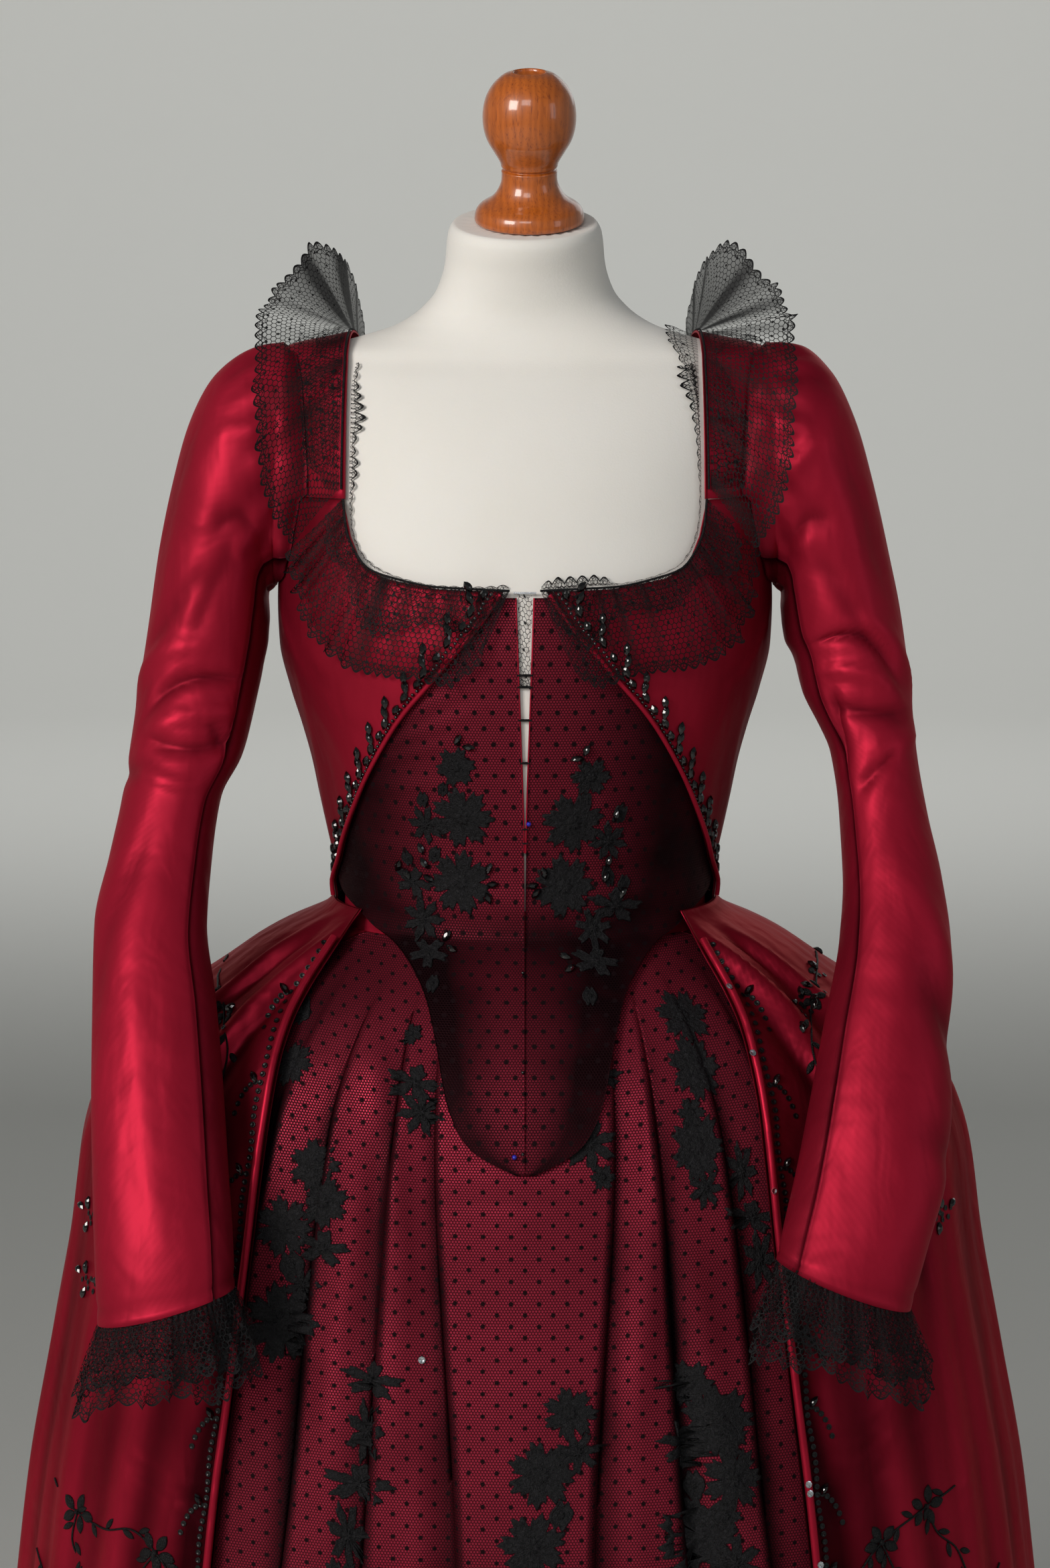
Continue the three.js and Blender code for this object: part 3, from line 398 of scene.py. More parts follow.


# %% [markdown]
# ## Creases
# Real cloth is never as even as a formula.  Each crease is listed one by one: where it lies along and across the
# cloth in mm, how long and how wide it is, which way it runs, and how deep it goes.  A positive depth is a ridge and
# a negative one a trough, and all of them fade out softly.


# %% The crease field
def creased(across, down, rows, narrowed=1.0):
    total = np.zeros(np.broadcast(across, down).shape)
    for row in rows:
        turn = np.radians(row["turn"])
        a, b = across - row["across"], down - row["down"]
        bow = row.get("bow", 0) * ((a * np.cos(turn) + b * np.sin(turn)) / row["long"]) ** 2
        lengthwise = (a * np.cos(turn) + b * np.sin(turn)) / row["long"]
        sideways = (b * np.cos(turn) - a * np.sin(turn) - bow) / (row["wide"] * narrowed)
        total += row["depth"] * np.exp(-sideways**2 - lengthwise**4)
    return total


def softened(grid, rounds):
    grid = grid.copy()
    for _ in range(rounds):
        grid[1:-1] = (grid[:-2] + 2 * grid[1:-1] + grid[2:]) / 4
    return grid

# %% [markdown]
# ## Colours and shader nodes
# Colours are written as sRGB hex, the way a dye book gives them, and one function turns them into
# the linear values that a shader wants.  One small function adds a node, sets its properties and
# feeds its inputs, either with a value or with another node's output.  The short ones after it
# name the few kinds of node that keep coming back.


# %% Colour and node helpers
def linear(code):
    parts = [int(code[i:i + 2], 16) / 255 for i in (0, 2, 4)]
    return [p / 12.92 if p <= 0.04045 else ((p + 0.055) / 1.055) ** 2.4 for p in parts] + [1.0]


def add_node(tree, kind, feeds=None, **settings):
    node = tree.nodes.new(kind)
    for name, value in settings.items():
        setattr(node, name, value)
    for socket, value in (feeds or {}).items():
        if isinstance(value, bpy.types.Node):
            value = value.outputs[0]
        if isinstance(value, bpy.types.NodeSocket):
            tree.links.new(value, node.inputs[socket])
        else:
            node.inputs[socket].default_value = value
    return node


def new_finish(name, colour, feeds=None):
    finish = bpy.data.materials.new(name)
    finish.use_nodes = True
    shader = finish.node_tree.nodes["Principled BSDF"]
    shader.inputs["Base Color"].default_value = linear(colour)
    for socket, value in (feeds or {}).items():
        shader.inputs[socket].default_value = value
    return finish, finish.node_tree, shader


def blend_colours(tree, share, first, second):
    """first and second are hex codes or outputs of other nodes."""
    first, second = (linear(colour) if isinstance(colour, str) else colour for colour in (first, second))
    return add_node(tree, "ShaderNodeMix", {0: share, 6: first, 7: second}, data_type="RGBA").outputs[2]


def wire_up(tree, shader, **outputs):
    """Feeds the shader: Base_Color=output goes to the socket "Base Color"."""
    for socket, output in outputs.items():
        tree.links.new(output, shader.inputs[socket.replace("_", " ")])


def maths(tree, operation, *values, clamp=False):
    feeds = dict(enumerate(values))
    return add_node(tree, "ShaderNodeMath", feeds, operation=operation, use_clamp=clamp).outputs[0]


def vectors(tree, operation, *values):
    return add_node(tree, "ShaderNodeVectorMath", dict(enumerate(values)), operation=operation).outputs[0]


def ranged(tree, value, low, high, to_low, to_high):
    return add_node(tree, "ShaderNodeMapRange", {0: value, 1: low, 2: high, 3: to_low, 4: to_high}).outputs[0]


def noise(tree, place, scale, detail=2.0, distortion=0.0):
    return add_node(tree, "ShaderNodeTexNoise", {
        "Vector": place, "Scale": scale, "Detail": detail, "Distortion": distortion}).outputs[0]


def bump(tree, height, strength, distance, under=None):
    feeds = {"Height": height, "Strength": strength, "Distance": distance}
    return add_node(tree, "ShaderNodeBump", feeds | ({"Normal": under} if under else {})).outputs[0]


def object_place(tree):
    return add_node(tree, "ShaderNodeTexCoord").outputs["Object"]


# Reads the "shade" attribute: painted shade on the satin and the tulle, and on the lace how far it lies double.
def painted_shade_and_doubling(tree):
    return add_node(tree, "ShaderNodeAttribute", attribute_name="shade").outputs["Fac"]


def in_millimetres(tree):
    """The cloth's own UV map, in mm along and down the cloth."""
    uv = add_node(tree, "ShaderNodeUVMap", uv_map="Cloth")
    return add_node(tree, "ShaderNodeVectorMath", {0: uv, "Scale": 1000.0}, operation="SCALE").outputs[0]


# %% [markdown]
# ## A net and a lattice of dots
# Tulle and lace are both a hexagonal net, and the woven dots lie on a staggered lattice.  Both
# come from one idea: two rectangular grids, the second shifted by half a cell.  The distance to
# the nearer grid point draws a dot.  Where a point is as far from one grid as from the other it
# lies on a wire of the net, so the difference of the squared distances draws the honeycomb.


# %% Lattice and net masks
def staggered(tree, place, width, height):
    """The way from the nearest lattice point, in mm, for each of the two grids."""
    ways = []
    for shift in (0.0, 0.5):
        cells = vectors(tree, "MULTIPLY_ADD", place, (1 / width, 1 / height, 0), (shift, shift, 0))
        centred = vectors(tree, "SUBTRACT", vectors(tree, "FRACTION", cells), (0.5, 0.5, 0))
        ways.append(vectors(tree, "MULTIPLY", centred, (width, height, 0)))
    return ways


def dots(tree, place, width, height, radius, soft=0.35):
    far = [add_node(tree, "ShaderNodeVectorMath", {0: way}, operation="LENGTH").outputs[1]
           for way in staggered(tree, place, width, height)]
    return ranged(tree, maths(tree, "MINIMUM", *far), radius - soft, radius + soft, 1.0, 0.0)


def net(tree, place, cell, wire):
    """1 on the wires of a hexagonal net whose cells are `cell` mm across, 0 in its holes."""
    ways = staggered(tree, place, cell, cell * 3**0.5)
    squares = [add_node(tree, "ShaderNodeVectorMath", {0: way, 1: way}, operation="DOT_PRODUCT").outputs[1]
               for way in ways]
    sides = [add_node(tree, "ShaderNodeSeparateXYZ", {0: way}).outputs[0] for way in ways]
    gap = maths(tree, "SUBTRACT", *squares)
    slanted = maths(tree, "MULTIPLY", maths(tree, "ABSOLUTE", gap), 0.5 / cell)
    nearest = add_node(tree, "ShaderNodeMix", {0: maths(tree, "GREATER_THAN", gap, 0.0), 2: sides[0], 3: sides[1]},
                       data_type="FLOAT")
    upright = maths(tree, "SUBTRACT", cell / 2, maths(tree, "ABSOLUTE", nearest))
    return ranged(tree, maths(tree, "MINIMUM", slanted, upright), wire * 0.3, wire * 0.7, 1.0, 0.0)


# %% [markdown]
# ## Crimson duchesse satin
# Duchesse satin is a heavy silk whose long floats throw the light back in broad soft bands.  The
# highlights keep the dye's colour, because light goes into the thread and out again, so the
# shader is part metallic with a middling roughness.  The weave is 0.2 mm, far too fine to show,
# so its floats are drawn as a faint 1.5 mm grain.  A slow ripple stands for the pull of seams.
# The "shade" attribute, stored on the vertices, is painted shade: folds, seams and sides turned from the light are
# darker.

# %% Crimson satin
SATIN_RED, SATIN_SHADE_AND_TONE = "AA1E35", "2A0208"


def satin_finish(name, ripple, metallic, roughness):
    finish, tree, shader = new_finish(name, SATIN_RED, {
        "Metallic": metallic, "Roughness": roughness, "Specular IOR Level": 0.25,
        "Specular Tint": linear("FF7486")})
    space = object_place(tree)
    vary = ranged(tree, noise(tree, space, 9.0, 3.0), 0.35, 0.75, 0.0, 0.22)
    # The satin is blended towards its shaded colour by painted shade from the "shade" attribute, plus a random tone.
    deep = maths(tree, "ADD", painted_shade_and_doubling(tree), vary, clamp=True)
    pulled = bump(tree, noise(tree, space, 17.0, distortion=0.6), ripple, 0.006)
    # Weighted cloth pulls into long soft ripples that run down the piece.
    tall = vectors(tree, "MULTIPLY", space, (1.0, 1.0, 0.28))
    rippled = bump(tree, noise(tree, tall, 42.0, distortion=0.4), ripple * 0.8, 0.0035, pulled)
    floats = add_node(tree, "ShaderNodeTexWave", {"Vector": in_millimetres(tree), "Scale": 0.11, "Distortion": 0.6,
                                                  "Detail": 1.0}, bands_direction="DIAGONAL")
    grain = bump(tree, floats.outputs["Fac"], 0.05, 0.0003, rippled)
    wire_up(tree, shader, Base_Color=blend_colours(tree, deep, SATIN_RED, SATIN_SHADE_AND_TONE), Normal=grain)
    return finish


crimson_satin = satin_finish("duchesse satin, crimson", 0.50, 0.42, 0.46)
# The skirt's lengths were pressed on the right side, so they shine more than the fitted pieces.
skirt_satin = satin_finish("duchesse satin, crimson, pressed", 0.65, 0.60, 0.41)
print("satin finish:", len(crimson_satin.node_tree.nodes), "nodes")

# %% [markdown]
# ## Dotted tulle over satin
# The stomacher and the petticoat's front have a layer of black dotted tulle mounted flat on the
# same satin.  Two meshes, one with holes, would flicker where they touch, so one surface carries
# both: black wires and dots over crimson.  The real net's cells are 1.5 mm; they are drawn at
# 2.1 mm so that they still show.  The net also dulls the satin, so the wires are rougher.


# %% Dotted tulle
def tulle_finish(name, dot_width, dot_height, dot_radius):
    finish, tree, shader = new_finish(name, "7A1020", {
        "Metallic": 0.30, "Roughness": 0.42, "Specular IOR Level": 0.18,
        "Specular Tint": linear("FF8A98")})
    place, space = in_millimetres(tree), object_place(tree)
    spots = dots(tree, place, dot_width, dot_height, dot_radius)
    veiled = maths(tree, "MULTIPLY", net(tree, place, 2.1, 0.75), 0.86)
    vary = ranged(tree, noise(tree, space, 14.0, 3.0), 0.35, 0.75, 0.0, 0.25)
    # The ground is darkened by painted shade from the "shade" attribute, plus a random tone.
    ground = blend_colours(tree, maths(tree, "ADD", painted_shade_and_doubling(tree), vary, clamp=True), "A02B40", "0C0305")
    netted = blend_colours(tree, veiled, ground, "0B080A")
    black = maths(tree, "MAXIMUM", veiled, spots)
    raised = bump(tree, black, 0.35, 0.0004)
    wire_up(tree, shader, Base_Color=blend_colours(tree, spots, netted, "0C0B0D"),
            Roughness=ranged(tree, black, 0.0, 1.0, 0.38, 0.75), Metallic=ranged(tree, black, 0.0, 1.0, 0.5, 0.0),
            Normal=bump(tree, noise(tree, space, 30.0), 0.25, 0.003, raised))
    return finish


stomacher_tulle = tulle_finish("dotted tulle over satin, stomacher", 12.2, 22.5, 1.8)
petticoat_tulle = tulle_finish("dotted tulle over satin, petticoat", 18.7, 14.8, 1.6)

# %% [markdown]
# ## Black lace
# The ruffles are a net-ground lace with a scalloped edge: thick outline thread along the
# scallops, a closer band above it and small woven dots in the net.  Real holes would take
# millions of faces, so the holes are cut with alpha on a single sheet.  The UV map runs along
# the ruffle and up from its free edge, both in mm, which lets every part of the pattern be
# placed from the edge, as a lace designer draws it.


# %% Lace
def lace_finish(name, scallop, depth, cell, wire, outline=0.75):
    finish, tree, shader = new_finish(name, "0A090B", {"Roughness": 0.7, "Specular IOR Level": 0.2})
    place = in_millimetres(tree)
    along, up, _ = add_node(tree, "ShaderNodeSeparateXYZ", {0: place}).outputs
    wave = maths(tree, "ABSOLUTE", maths(tree, "SINE", maths(tree, "MULTIPLY", along, np.pi / scallop)))
    above = maths(tree, "SUBTRACT", up, ranged(tree, wave, 0.0, 1.0, depth, 0.0))
    masks = [net(tree, place, cell, wire)]
    for middle, half in ((0.55, outline), (depth + 1.9, outline * 0.5)):
        off = maths(tree, "ABSOLUTE", maths(tree, "SUBTRACT", above, middle))
        masks.append(maths(tree, "LESS_THAN", off, half))
    masks.append(dots(tree, place, scallop * 1.5, scallop * 2.2, 1.15))
    in_band = maths(tree, "LESS_THAN", above, depth + 2.0)
    masks.append(maths(tree, "MULTIPLY", net(tree, place, cell * 0.62, wire * 0.7), in_band))
    thread = masks[0]
    for mask in masks[1:]:
        thread = maths(tree, "MAXIMUM", thread, mask)
    # Where the lace is folded on itself two nets lie over each other and nearly close up.
    doubled = maths(tree, "MAXIMUM", painted_shade_and_doubling(tree), thread)
    tone = ranged(tree, noise(tree, place, 0.9), 0.3, 0.7, 0.0, 1.0)
    wire_up(tree, shader, Alpha=maths(tree, "MULTIPLY", doubled, maths(tree, "GREATER_THAN", above, 0.0)),
            Base_Color=blend_colours(tree, tone, "050506", "131215"), Normal=bump(tree, thread, 0.4, 0.0004))
    return finish


# The real net's cells are 2.3 mm; they are drawn at 3.9 mm so that the holes still show.
neck_lace = lace_finish("black net lace, neck", 7.6, 3.6, 3.9, 0.62)
upper_lace = lace_finish("black net lace, fine", 8.2, 2.8, 3.6, 0.42, 0.4)
cuff_lace = lace_finish("black net lace, cuffs", 10.0, 4.4, 4.2, 0.62)

# %% [markdown]
# ## The form's finishes
# The form is cream cotton jersey stretched over foam: matt, with a fine knit that only shows as
# softness.  Its neck knob is lacquered beech stained orange-brown, so it has flecked grain under
# a clear glossy coat.  The stand is stove-enamelled steel: dark, smooth and a little worn.

# %% Jersey, lacquered beech and enamel
cream_jersey, tree, shader = new_finish("cotton jersey, cream", "F1EEE8", {
    "Roughness": 0.88, "Sheen Weight": 0.25, "Sheen Roughness": 0.5, "Specular IOR Level": 0.25,
    "Subsurface Weight": 0.05, "Subsurface Radius": (0.004, 0.003, 0.002)})
space = object_place(tree)
soil = ranged(tree, noise(tree, space, 7.0, 4.0), 0.4, 0.8, 0.0, 0.5)
# The knit's wales are 0.6 mm apart, drawn at about 1.6 mm.
wire_up(tree, shader, Base_Color=blend_colours(tree, soil, "F1EEE8", "E6E1D6"),
        Normal=bump(tree, noise(tree, space, 620.0), 0.16, 0.0006))

lacquered_beech, tree, shader = new_finish("beech, stained and lacquered", "8A3A10", {
    "Roughness": 0.38, "Coat Weight": 0.9, "Coat Roughness": 0.10, "IOR": 1.5})
space = object_place(tree)
stretched, flecks_at = (add_node(tree, "ShaderNodeMapping", {"Vector": space, "Scale": scale})
                        for scale in ((60.0, 60.0, 9.0), (900.0, 900.0, 120.0)))
rings = add_node(tree, "ShaderNodeTexWave", {"Vector": stretched, "Scale": 1.1, "Distortion": 5.0,
                                             "Detail": 3.0, "Detail Scale": 1.6}, bands_direction="X")
fleck = ranged(tree, noise(tree, flecks_at, 1.0), 0.55, 0.72, 0.0, 0.55)
both = maths(tree, "ADD", maths(tree, "MULTIPLY", rings.outputs["Fac"], 0.32), fleck, clamp=True)
wire_up(tree, shader, Base_Color=blend_colours(tree, both, "C2641C", "7E340B"))

stove_enamel, tree, shader = new_finish("stove enamel on steel", "262322", {
    "Roughness": 0.35, "Specular IOR Level": 0.5})
space = object_place(tree)
wire_up(tree, shader, Normal=bump(tree, noise(tree, space, 240.0), 0.12, 0.0004),
        Roughness=ranged(tree, noise(tree, space, 18.0, 4.0), 0.35, 0.75, 0.28, 0.5))

# %% [markdown]
# ## The trimmings' finishes
# Jet is fossil wood, cut in facets and polished, so it is black with very sharp glints.  Sequins
# are pressed plastic: black ones gloss, silver ones mirror.  The applied flowers are worked in
# dull black cord and the sprays in satin stitch, whose smooth thread has a low sheen.

# %% Jet, sequins, cord and thread
def polished_finish(name, colour, feeds, scale, detail, low, high, shiny, dull):
    """A glossy finish whose roughness wanders between shiny and dull, as handling leaves it."""
    finish, tree, shader = new_finish(name, colour, feeds)
    smear = noise(tree, object_place(tree), scale, detail)
    wire_up(tree, shader, Roughness=ranged(tree, smear, low, high, shiny, dull))
    return finish


def thread_finish(name, dark, light, roughness, pitch):
    """Laid black thread: the strands are `pitch` mm apart, coarser than life so that they show."""
    finish, tree, shader = new_finish(name, dark, {"Roughness": roughness, "Specular IOR Level": 0.22})
    strands = noise(tree, object_place(tree), 1000 / pitch, distortion=1.4)
    tone = ranged(tree, strands, 0.35, 0.7, 0.0, 1.0)
    wire_up(tree, shader, Base_Color=blend_colours(tree, tone, dark, light),
            Normal=bump(tree, strands, 0.9, 0.0012))
    return finish


jet = polished_finish("jet, faceted and polished", "070708", {"Roughness": 0.10, "IOR": 1.66},
                      400.0, 1.0, 0.3, 0.8, 0.05, 0.16)
black_sequin = polished_finish("sequins, gloss black", "060607", {"Roughness": 0.3, "Specular IOR Level": 0.32},
                               500.0, 2.0, 0.3, 0.7, 0.25, 0.45)
silver_sequin = polished_finish("sequins, silvered", "D9DDE2", {"Metallic": 1.0, "Roughness": 0.18},
                                300.0, 2.0, 0.3, 0.7, 0.1, 0.3)
cord_black = thread_finish("cotton cord, black", "030304", "1F1E21", 0.66, 1.6)
silk_black = thread_finish("silk thread, black", "040405", "101012", 0.45, 1.2)
print("finishes:", len(bpy.data.materials))

# %% [markdown]
# ## Two trees that do the repeating
# Hundreds of stones, sequins and stitches differ only in place, turn and size.  A Geometry Nodes
# tree puts one shape on each point of a carrier mesh, which stores the turn as a quaternion and
# the size as a vector.  A second tree runs a round section along a carrier line, for piping,
# rolled edges and cords.  Both end by making the copies real and giving them their finish.


# %% The scatter tree and the path tree
def new_tree(name, inputs):
    tree = bpy.data.node_groups.new(name, "GeometryNodeTree")
    tree.interface.new_socket("Geometry", in_out="INPUT", socket_type="NodeSocketGeometry")
    sockets = {}
    for label, kind, value in inputs:
        socket = tree.interface.new_socket(label, in_out="INPUT", socket_type=kind)
        if value is not None:
            socket.default_value = value
        sockets[label] = socket.identifier
    tree.interface.new_socket("Geometry", in_out="OUTPUT", socket_type="NodeSocketGeometry")
    source = add_node(tree, "NodeGroupInput")
    return tree, sockets, source


def end_tree(tree, geometry, source):
    real = add_node(tree, "GeometryNodeRealizeInstances", {0: geometry})
    smooth = add_node(tree, "GeometryNodeSetShadeSmooth", {0: real, 2: source.outputs["Smooth"]})
    dressed = add_node(tree, "GeometryNodeSetMaterial", {0: smooth, "Material": source.outputs["Finish"]})
    add_node(tree, "NodeGroupOutput", {0: dressed})


scatter_tree, scatter_inputs, source = new_tree("scatter shapes on points", [
    ("Shape", "NodeSocketObject", None), ("Size", "NodeSocketFloat", 1.0),
    ("Smooth", "NodeSocketBool", False), ("Finish", "NodeSocketMaterial", None)])
shape = add_node(scatter_tree, "GeometryNodeObjectInfo", {0: source.outputs["Shape"], 1: True})
turns = add_node(scatter_tree, "GeometryNodeInputNamedAttribute", {0: "turn"}, data_type="QUATERNION")
sizes = add_node(scatter_tree, "GeometryNodeInputNamedAttribute", {0: "size"}, data_type="FLOAT_VECTOR")
scaled = add_node(scatter_tree, "ShaderNodeVectorMath", {0: sizes, "Scale": source.outputs["Size"]},
                  operation="SCALE")
copies = add_node(scatter_tree, "GeometryNodeInstanceOnPoints", {
    "Points": source.outputs["Geometry"], "Instance": shape.outputs["Geometry"],
    "Rotation": turns, "Scale": scaled})
end_tree(scatter_tree, copies, source)

path_tree, path_inputs, source = new_tree("round section along a line", [
    ("Radius", "NodeSocketFloat", 0.002), ("Sides", "NodeSocketInt", 12), ("Step", "NodeSocketFloat", 0.006),
    ("Smooth", "NodeSocketBool", True), ("Finish", "NodeSocketMaterial", None)])
line = add_node(path_tree, "GeometryNodeMeshToCurve", {0: source.outputs["Geometry"]})
even = add_node(path_tree, "GeometryNodeResampleCurve", {0: line, "Length": source.outputs["Step"]},
                mode="LENGTH")
ring = add_node(path_tree, "GeometryNodeCurvePrimitiveCircle", {
    "Resolution": source.outputs["Sides"], "Radius": source.outputs["Radius"]})
swept = add_node(path_tree, "GeometryNodeCurveToMesh", {0: even, 1: ring.outputs[0], "Fill Caps": True})
end_tree(path_tree, swept, source)


def grown(name, carrier, tree, sockets, values):
    """Runs a tree on a carrier mesh and keeps the result as a plain mesh."""
    piece = placed(name, carrier)
    modifier = piece.modifiers.new("grow", "NODES")
    modifier.node_group = tree
    for label, value in values.items():
        modifier[sockets[label]] = value
    evaluated = piece.evaluated_get(bpy.context.evaluated_depsgraph_get())
    made = bpy.data.meshes.new_from_object(evaluated)
    piece.modifiers.clear()
    piece.data = made
    made.name = name
    bpy.data.meshes.remove(carrier)
    return piece


def scattered(name, shape, spots, finish, smooth=False):
    """Each spot is (place in mm, direction along, direction out, (length, width, height))."""
    carrier = bpy.data.meshes.new(name + " points")
    carrier.from_pydata([list(np.array(spot[0]) * MM) for spot in spots], [], [])
    along = unit(np.array([spot[1] for spot in spots], float))
    out = np.array([spot[2] for spot in spots], float)
    out = unit(out - along * np.sum(out * along, axis=1, keepdims=True))
    turns = [Matrix(np.stack([a, np.cross(o, a), o], axis=1).tolist()).to_quaternion()
             for a, o in zip(along, out)]
    stored = carrier.attributes.new("turn", "QUATERNION", "POINT")
    stored.data.foreach_set("value", np.array(turns, np.float32).ravel())
    stored = carrier.attributes.new("size", "FLOAT_VECTOR", "POINT")
    stored.data.foreach_set("vector", np.array([spot[3] for spot in spots], np.float32).ravel())
    piece = grown(name, carrier, scatter_tree, scatter_inputs,
                  {"Shape": shape, "Size": MM, "Smooth": smooth, "Finish": finish})
    print(f"{name}: {len(spots)} copies, {len(piece.data.polygons)} faces")
    return piece


def swept_lines(name, lines, radius, finish, sides=12, step=6.0):
    carrier = bpy.data.meshes.new(name + " lines")
    starts = np.cumsum([0] + [len(line) for line in lines])
    edges = [(start + i, start + i + 1) for start, line in zip(starts, lines) for i in range(len(line) - 1)]
    carrier.from_pydata((np.concatenate([np.array(line) for line in lines]) * MM).tolist(), edges, [])
    return grown(name, carrier, path_tree, path_inputs, {
        "Radius": radius * MM, "Sides": sides, "Step": step * MM, "Finish": finish})

# %% [markdown]
# ## The dress form
# The form's body is one smooth skin over the ring table, drawn in a little under the gown's own
# layers.  Its top is closed by the jersey turned over the neck's rim.  The knob, the base and the
# pole are turned pieces: a profile of radius and height, rounded by cutting its corners a few
# times, and spun about its axis.  A lathe would make them the same way.


# %% Form, knob and stand
def spun(name, profile, finish, sides=96, rounds=2, centre=(0, 0, 0), tilt=0.0):
    profile = np.array(profile, float)
    for _ in range(rounds):
        near, far = mix(profile[:-1], profile[1:], 0.25), mix(profile[:-1], profile[1:], 0.75)
        cut = np.stack([near, far], axis=1).reshape(-1, 2)
        profile = np.concatenate([profile[:1], cut[1:-1], profile[-1:]])
    radius, height = np.maximum(profile[:, 0], 0.4), profile[:, 1]
    turn = np.linspace(0, 2 * np.pi, sides, endpoint=False)
    points = np.stack([radius[:, None] * np.cos(turn), radius[:, None] * np.sin(turn),
                       np.repeat(height[:, None], sides, axis=1)], axis=-1)
    lean = np.radians(tilt)
    bend = np.array([[1, 0, 0], [0, np.cos(lean), -np.sin(lean)], [0, np.sin(lean), np.cos(lean)]])
    points = points @ bend.T + np.array(centre)
    return closed_rings(name, points, finish)


def closed_rings(name, points, finish):
    rows, cols = points.shape[:2]
    ids = np.arange(rows * cols).reshape(rows, cols)
    ids = np.concatenate([ids, ids[:, :1]], axis=1)
    uv = cloth_uv(np.concatenate([points, points[:, :1]], axis=1))
    quads, places = strips(ids, uv)
    middles = np.stack([points[0].mean(axis=0), points[-1].mean(axis=0)])
    first, last = rows * cols, rows * cols + 1
    lids = [(first, int(ids[0, i + 1]), int(ids[0, i])) for i in range(cols)]
    lids += [(last, int(ids[-1, i]), int(ids[-1, i + 1])) for i in range(cols)]
    return piece_from(name, np.concatenate([points.reshape(-1, 3), middles]), quads, places, finish, fans=lids)


heights = np.unique(np.concatenate([np.linspace(885, 1400, 72), np.linspace(1400, 1508, 48)]))
angles = np.linspace(0, 2 * np.pi, 104, endpoint=False)
drawn_in = np.where(heights < 1070, -0.9, -0.4) * ease(heights, 885, 890)
drawn_in = drawn_in * (1 - ease(heights, 1480, 1500))
skin = form_surface.lifted(angles[None, :], heights[:, None], drawn_in[:, None])
rim = form_surface.at(angles, 1512.0)
crown = rim.mean(axis=0)
lid = [mix(skin[-1], rim, 0.6), mix(crown, rim, 0.99), mix(crown, rim, 0.96), mix(crown, rim, 0.88)]
gather = 0.5 * np.cos(28 * angles)[:, None] * np.array([0, 0, 1.0])
lid += [mix(crown, rim, 0.78) - gather - [0, 0, 0.4], mix(crown, rim, 0.4) - [0, 0, 0.4],
        mix(crown, rim, 0.02) - [0, 0, 0.4]]
form_torso = closed_rings("dress_form_body", np.concatenate([skin, np.stack(lid)]), cream_jersey)
hand_over(form_torso, ["form_torso"], "cream_jersey")

knob = spun("neck_knob_turned", [
    [0, 0], [30, 0], [37.5, 0], [38.2, 5], [35.5, 12], [25, 17.5], [19.5, 27], [19, 34.5], [19.5, 36.5],
    [17.6, 37.3], [17.6, 38.1], [19.5, 39], [19.8, 42], [24, 49], [30.2, 59], [32.6, 72], [31, 85],
    [26, 95], [18, 102.5], [12.5, 104], [11.4, 104.4], [10.6, 103.6], [10.2, 101.8], [0, 101.5]],
    lacquered_beech, centre=(3, -12, 1512.3), tilt=14)
hand_over(knob, ["neck_knob"], "turned_wood")

stand_base = spun("stand_foot", [
    [0, 0], [200, 0], [204.6, 0.4], [205, 4], [205, 9], [202, 12.4], [196, 13.2], [60, 18], [40, 21],
    [34, 30], [31, 37], [28.6, 41], [28, 44], [0, 44]], stove_enamel, rounds=1)
stand_pole = spun("stand_upright", [
    [0, 44.3], [15.6, 44.3], [16, 45], [16, 400], [16, 868], [16.5, 872.5], [33, 878.5], [34, 879.5],
    [34, 884.2], [33.4, 884.7], [0, 884.7]], stove_enamel, sides=48, rounds=1)
hand_over(stand_base, ["stand_base"], "stand_enamel")
hand_over(stand_pole, ["stand_pole"], "stand_enamel")
for piece in (form_torso, knob, stand_base, stand_pole):
    print(piece.name, [round(v * 1000) for v in piece.dimensions], "mm")

# %% [markdown]
# ## The stomacher
# The stomacher is two halves that meet at centre front under the bodice's edges and run down to
# a blunt point over the skirt.  Each lies on the form above the waist and on the petticoat below
# it, so its surface is a blend of the two.  Pulling at the fastening leaves a few slanting
# creases in it.  The closing hooks are dealt with later, among the trimmings.

# %% Stomacher halves
WAIST, BAND_BOTTOM, WAIST_LIFT = 1038, 1022, 4.4
SATIN, SKIRT_CLOTH = 1.6, 1.8
STOMACHER = table("z inner outer", [
    [1266, 6.5, 14], [1240, 5.6, 33], [1217, 4.8, 53], [1173, 3.3, 87], [1122, 1.6, 111], [1079, 0.6, 124],
    [1058, 0.4, 127], [1047, 0.3, 123], [1036, 0.3, 111], [1025, 0.3, 99], [1005, 0.3, 78], [985, 0.3, 66],
    [960, 0.3, 59], [924, 0.3, 51], [897, 0.3, 36], [888, 0.3, 20], [882, 0.3, 6],
])
STOMACHER_CREASES = table("across down long wide turn depth", [
    [62, 72, 34, 5, 28, 1.3], [70, 92, 40, 5, 24, 1.5], [80, 108, 30, 4, 18, 1.1], [84, 132, 30, 5, 10, 0.9],
    [40, 150, 26, 6, -34, 0.7], [95, 175, 40, 6, -12, 0.9], [36, 262, 40, 6, 62, 0.7],
])
stomacher_inner = smooth_curve(STOMACHER, "z", "inner")
stomacher_outer = smooth_curve(STOMACHER, "z", "outer")


def band_lift(z):
    return WAIST_LIFT * (1 - ease(z, 1046, 1072))


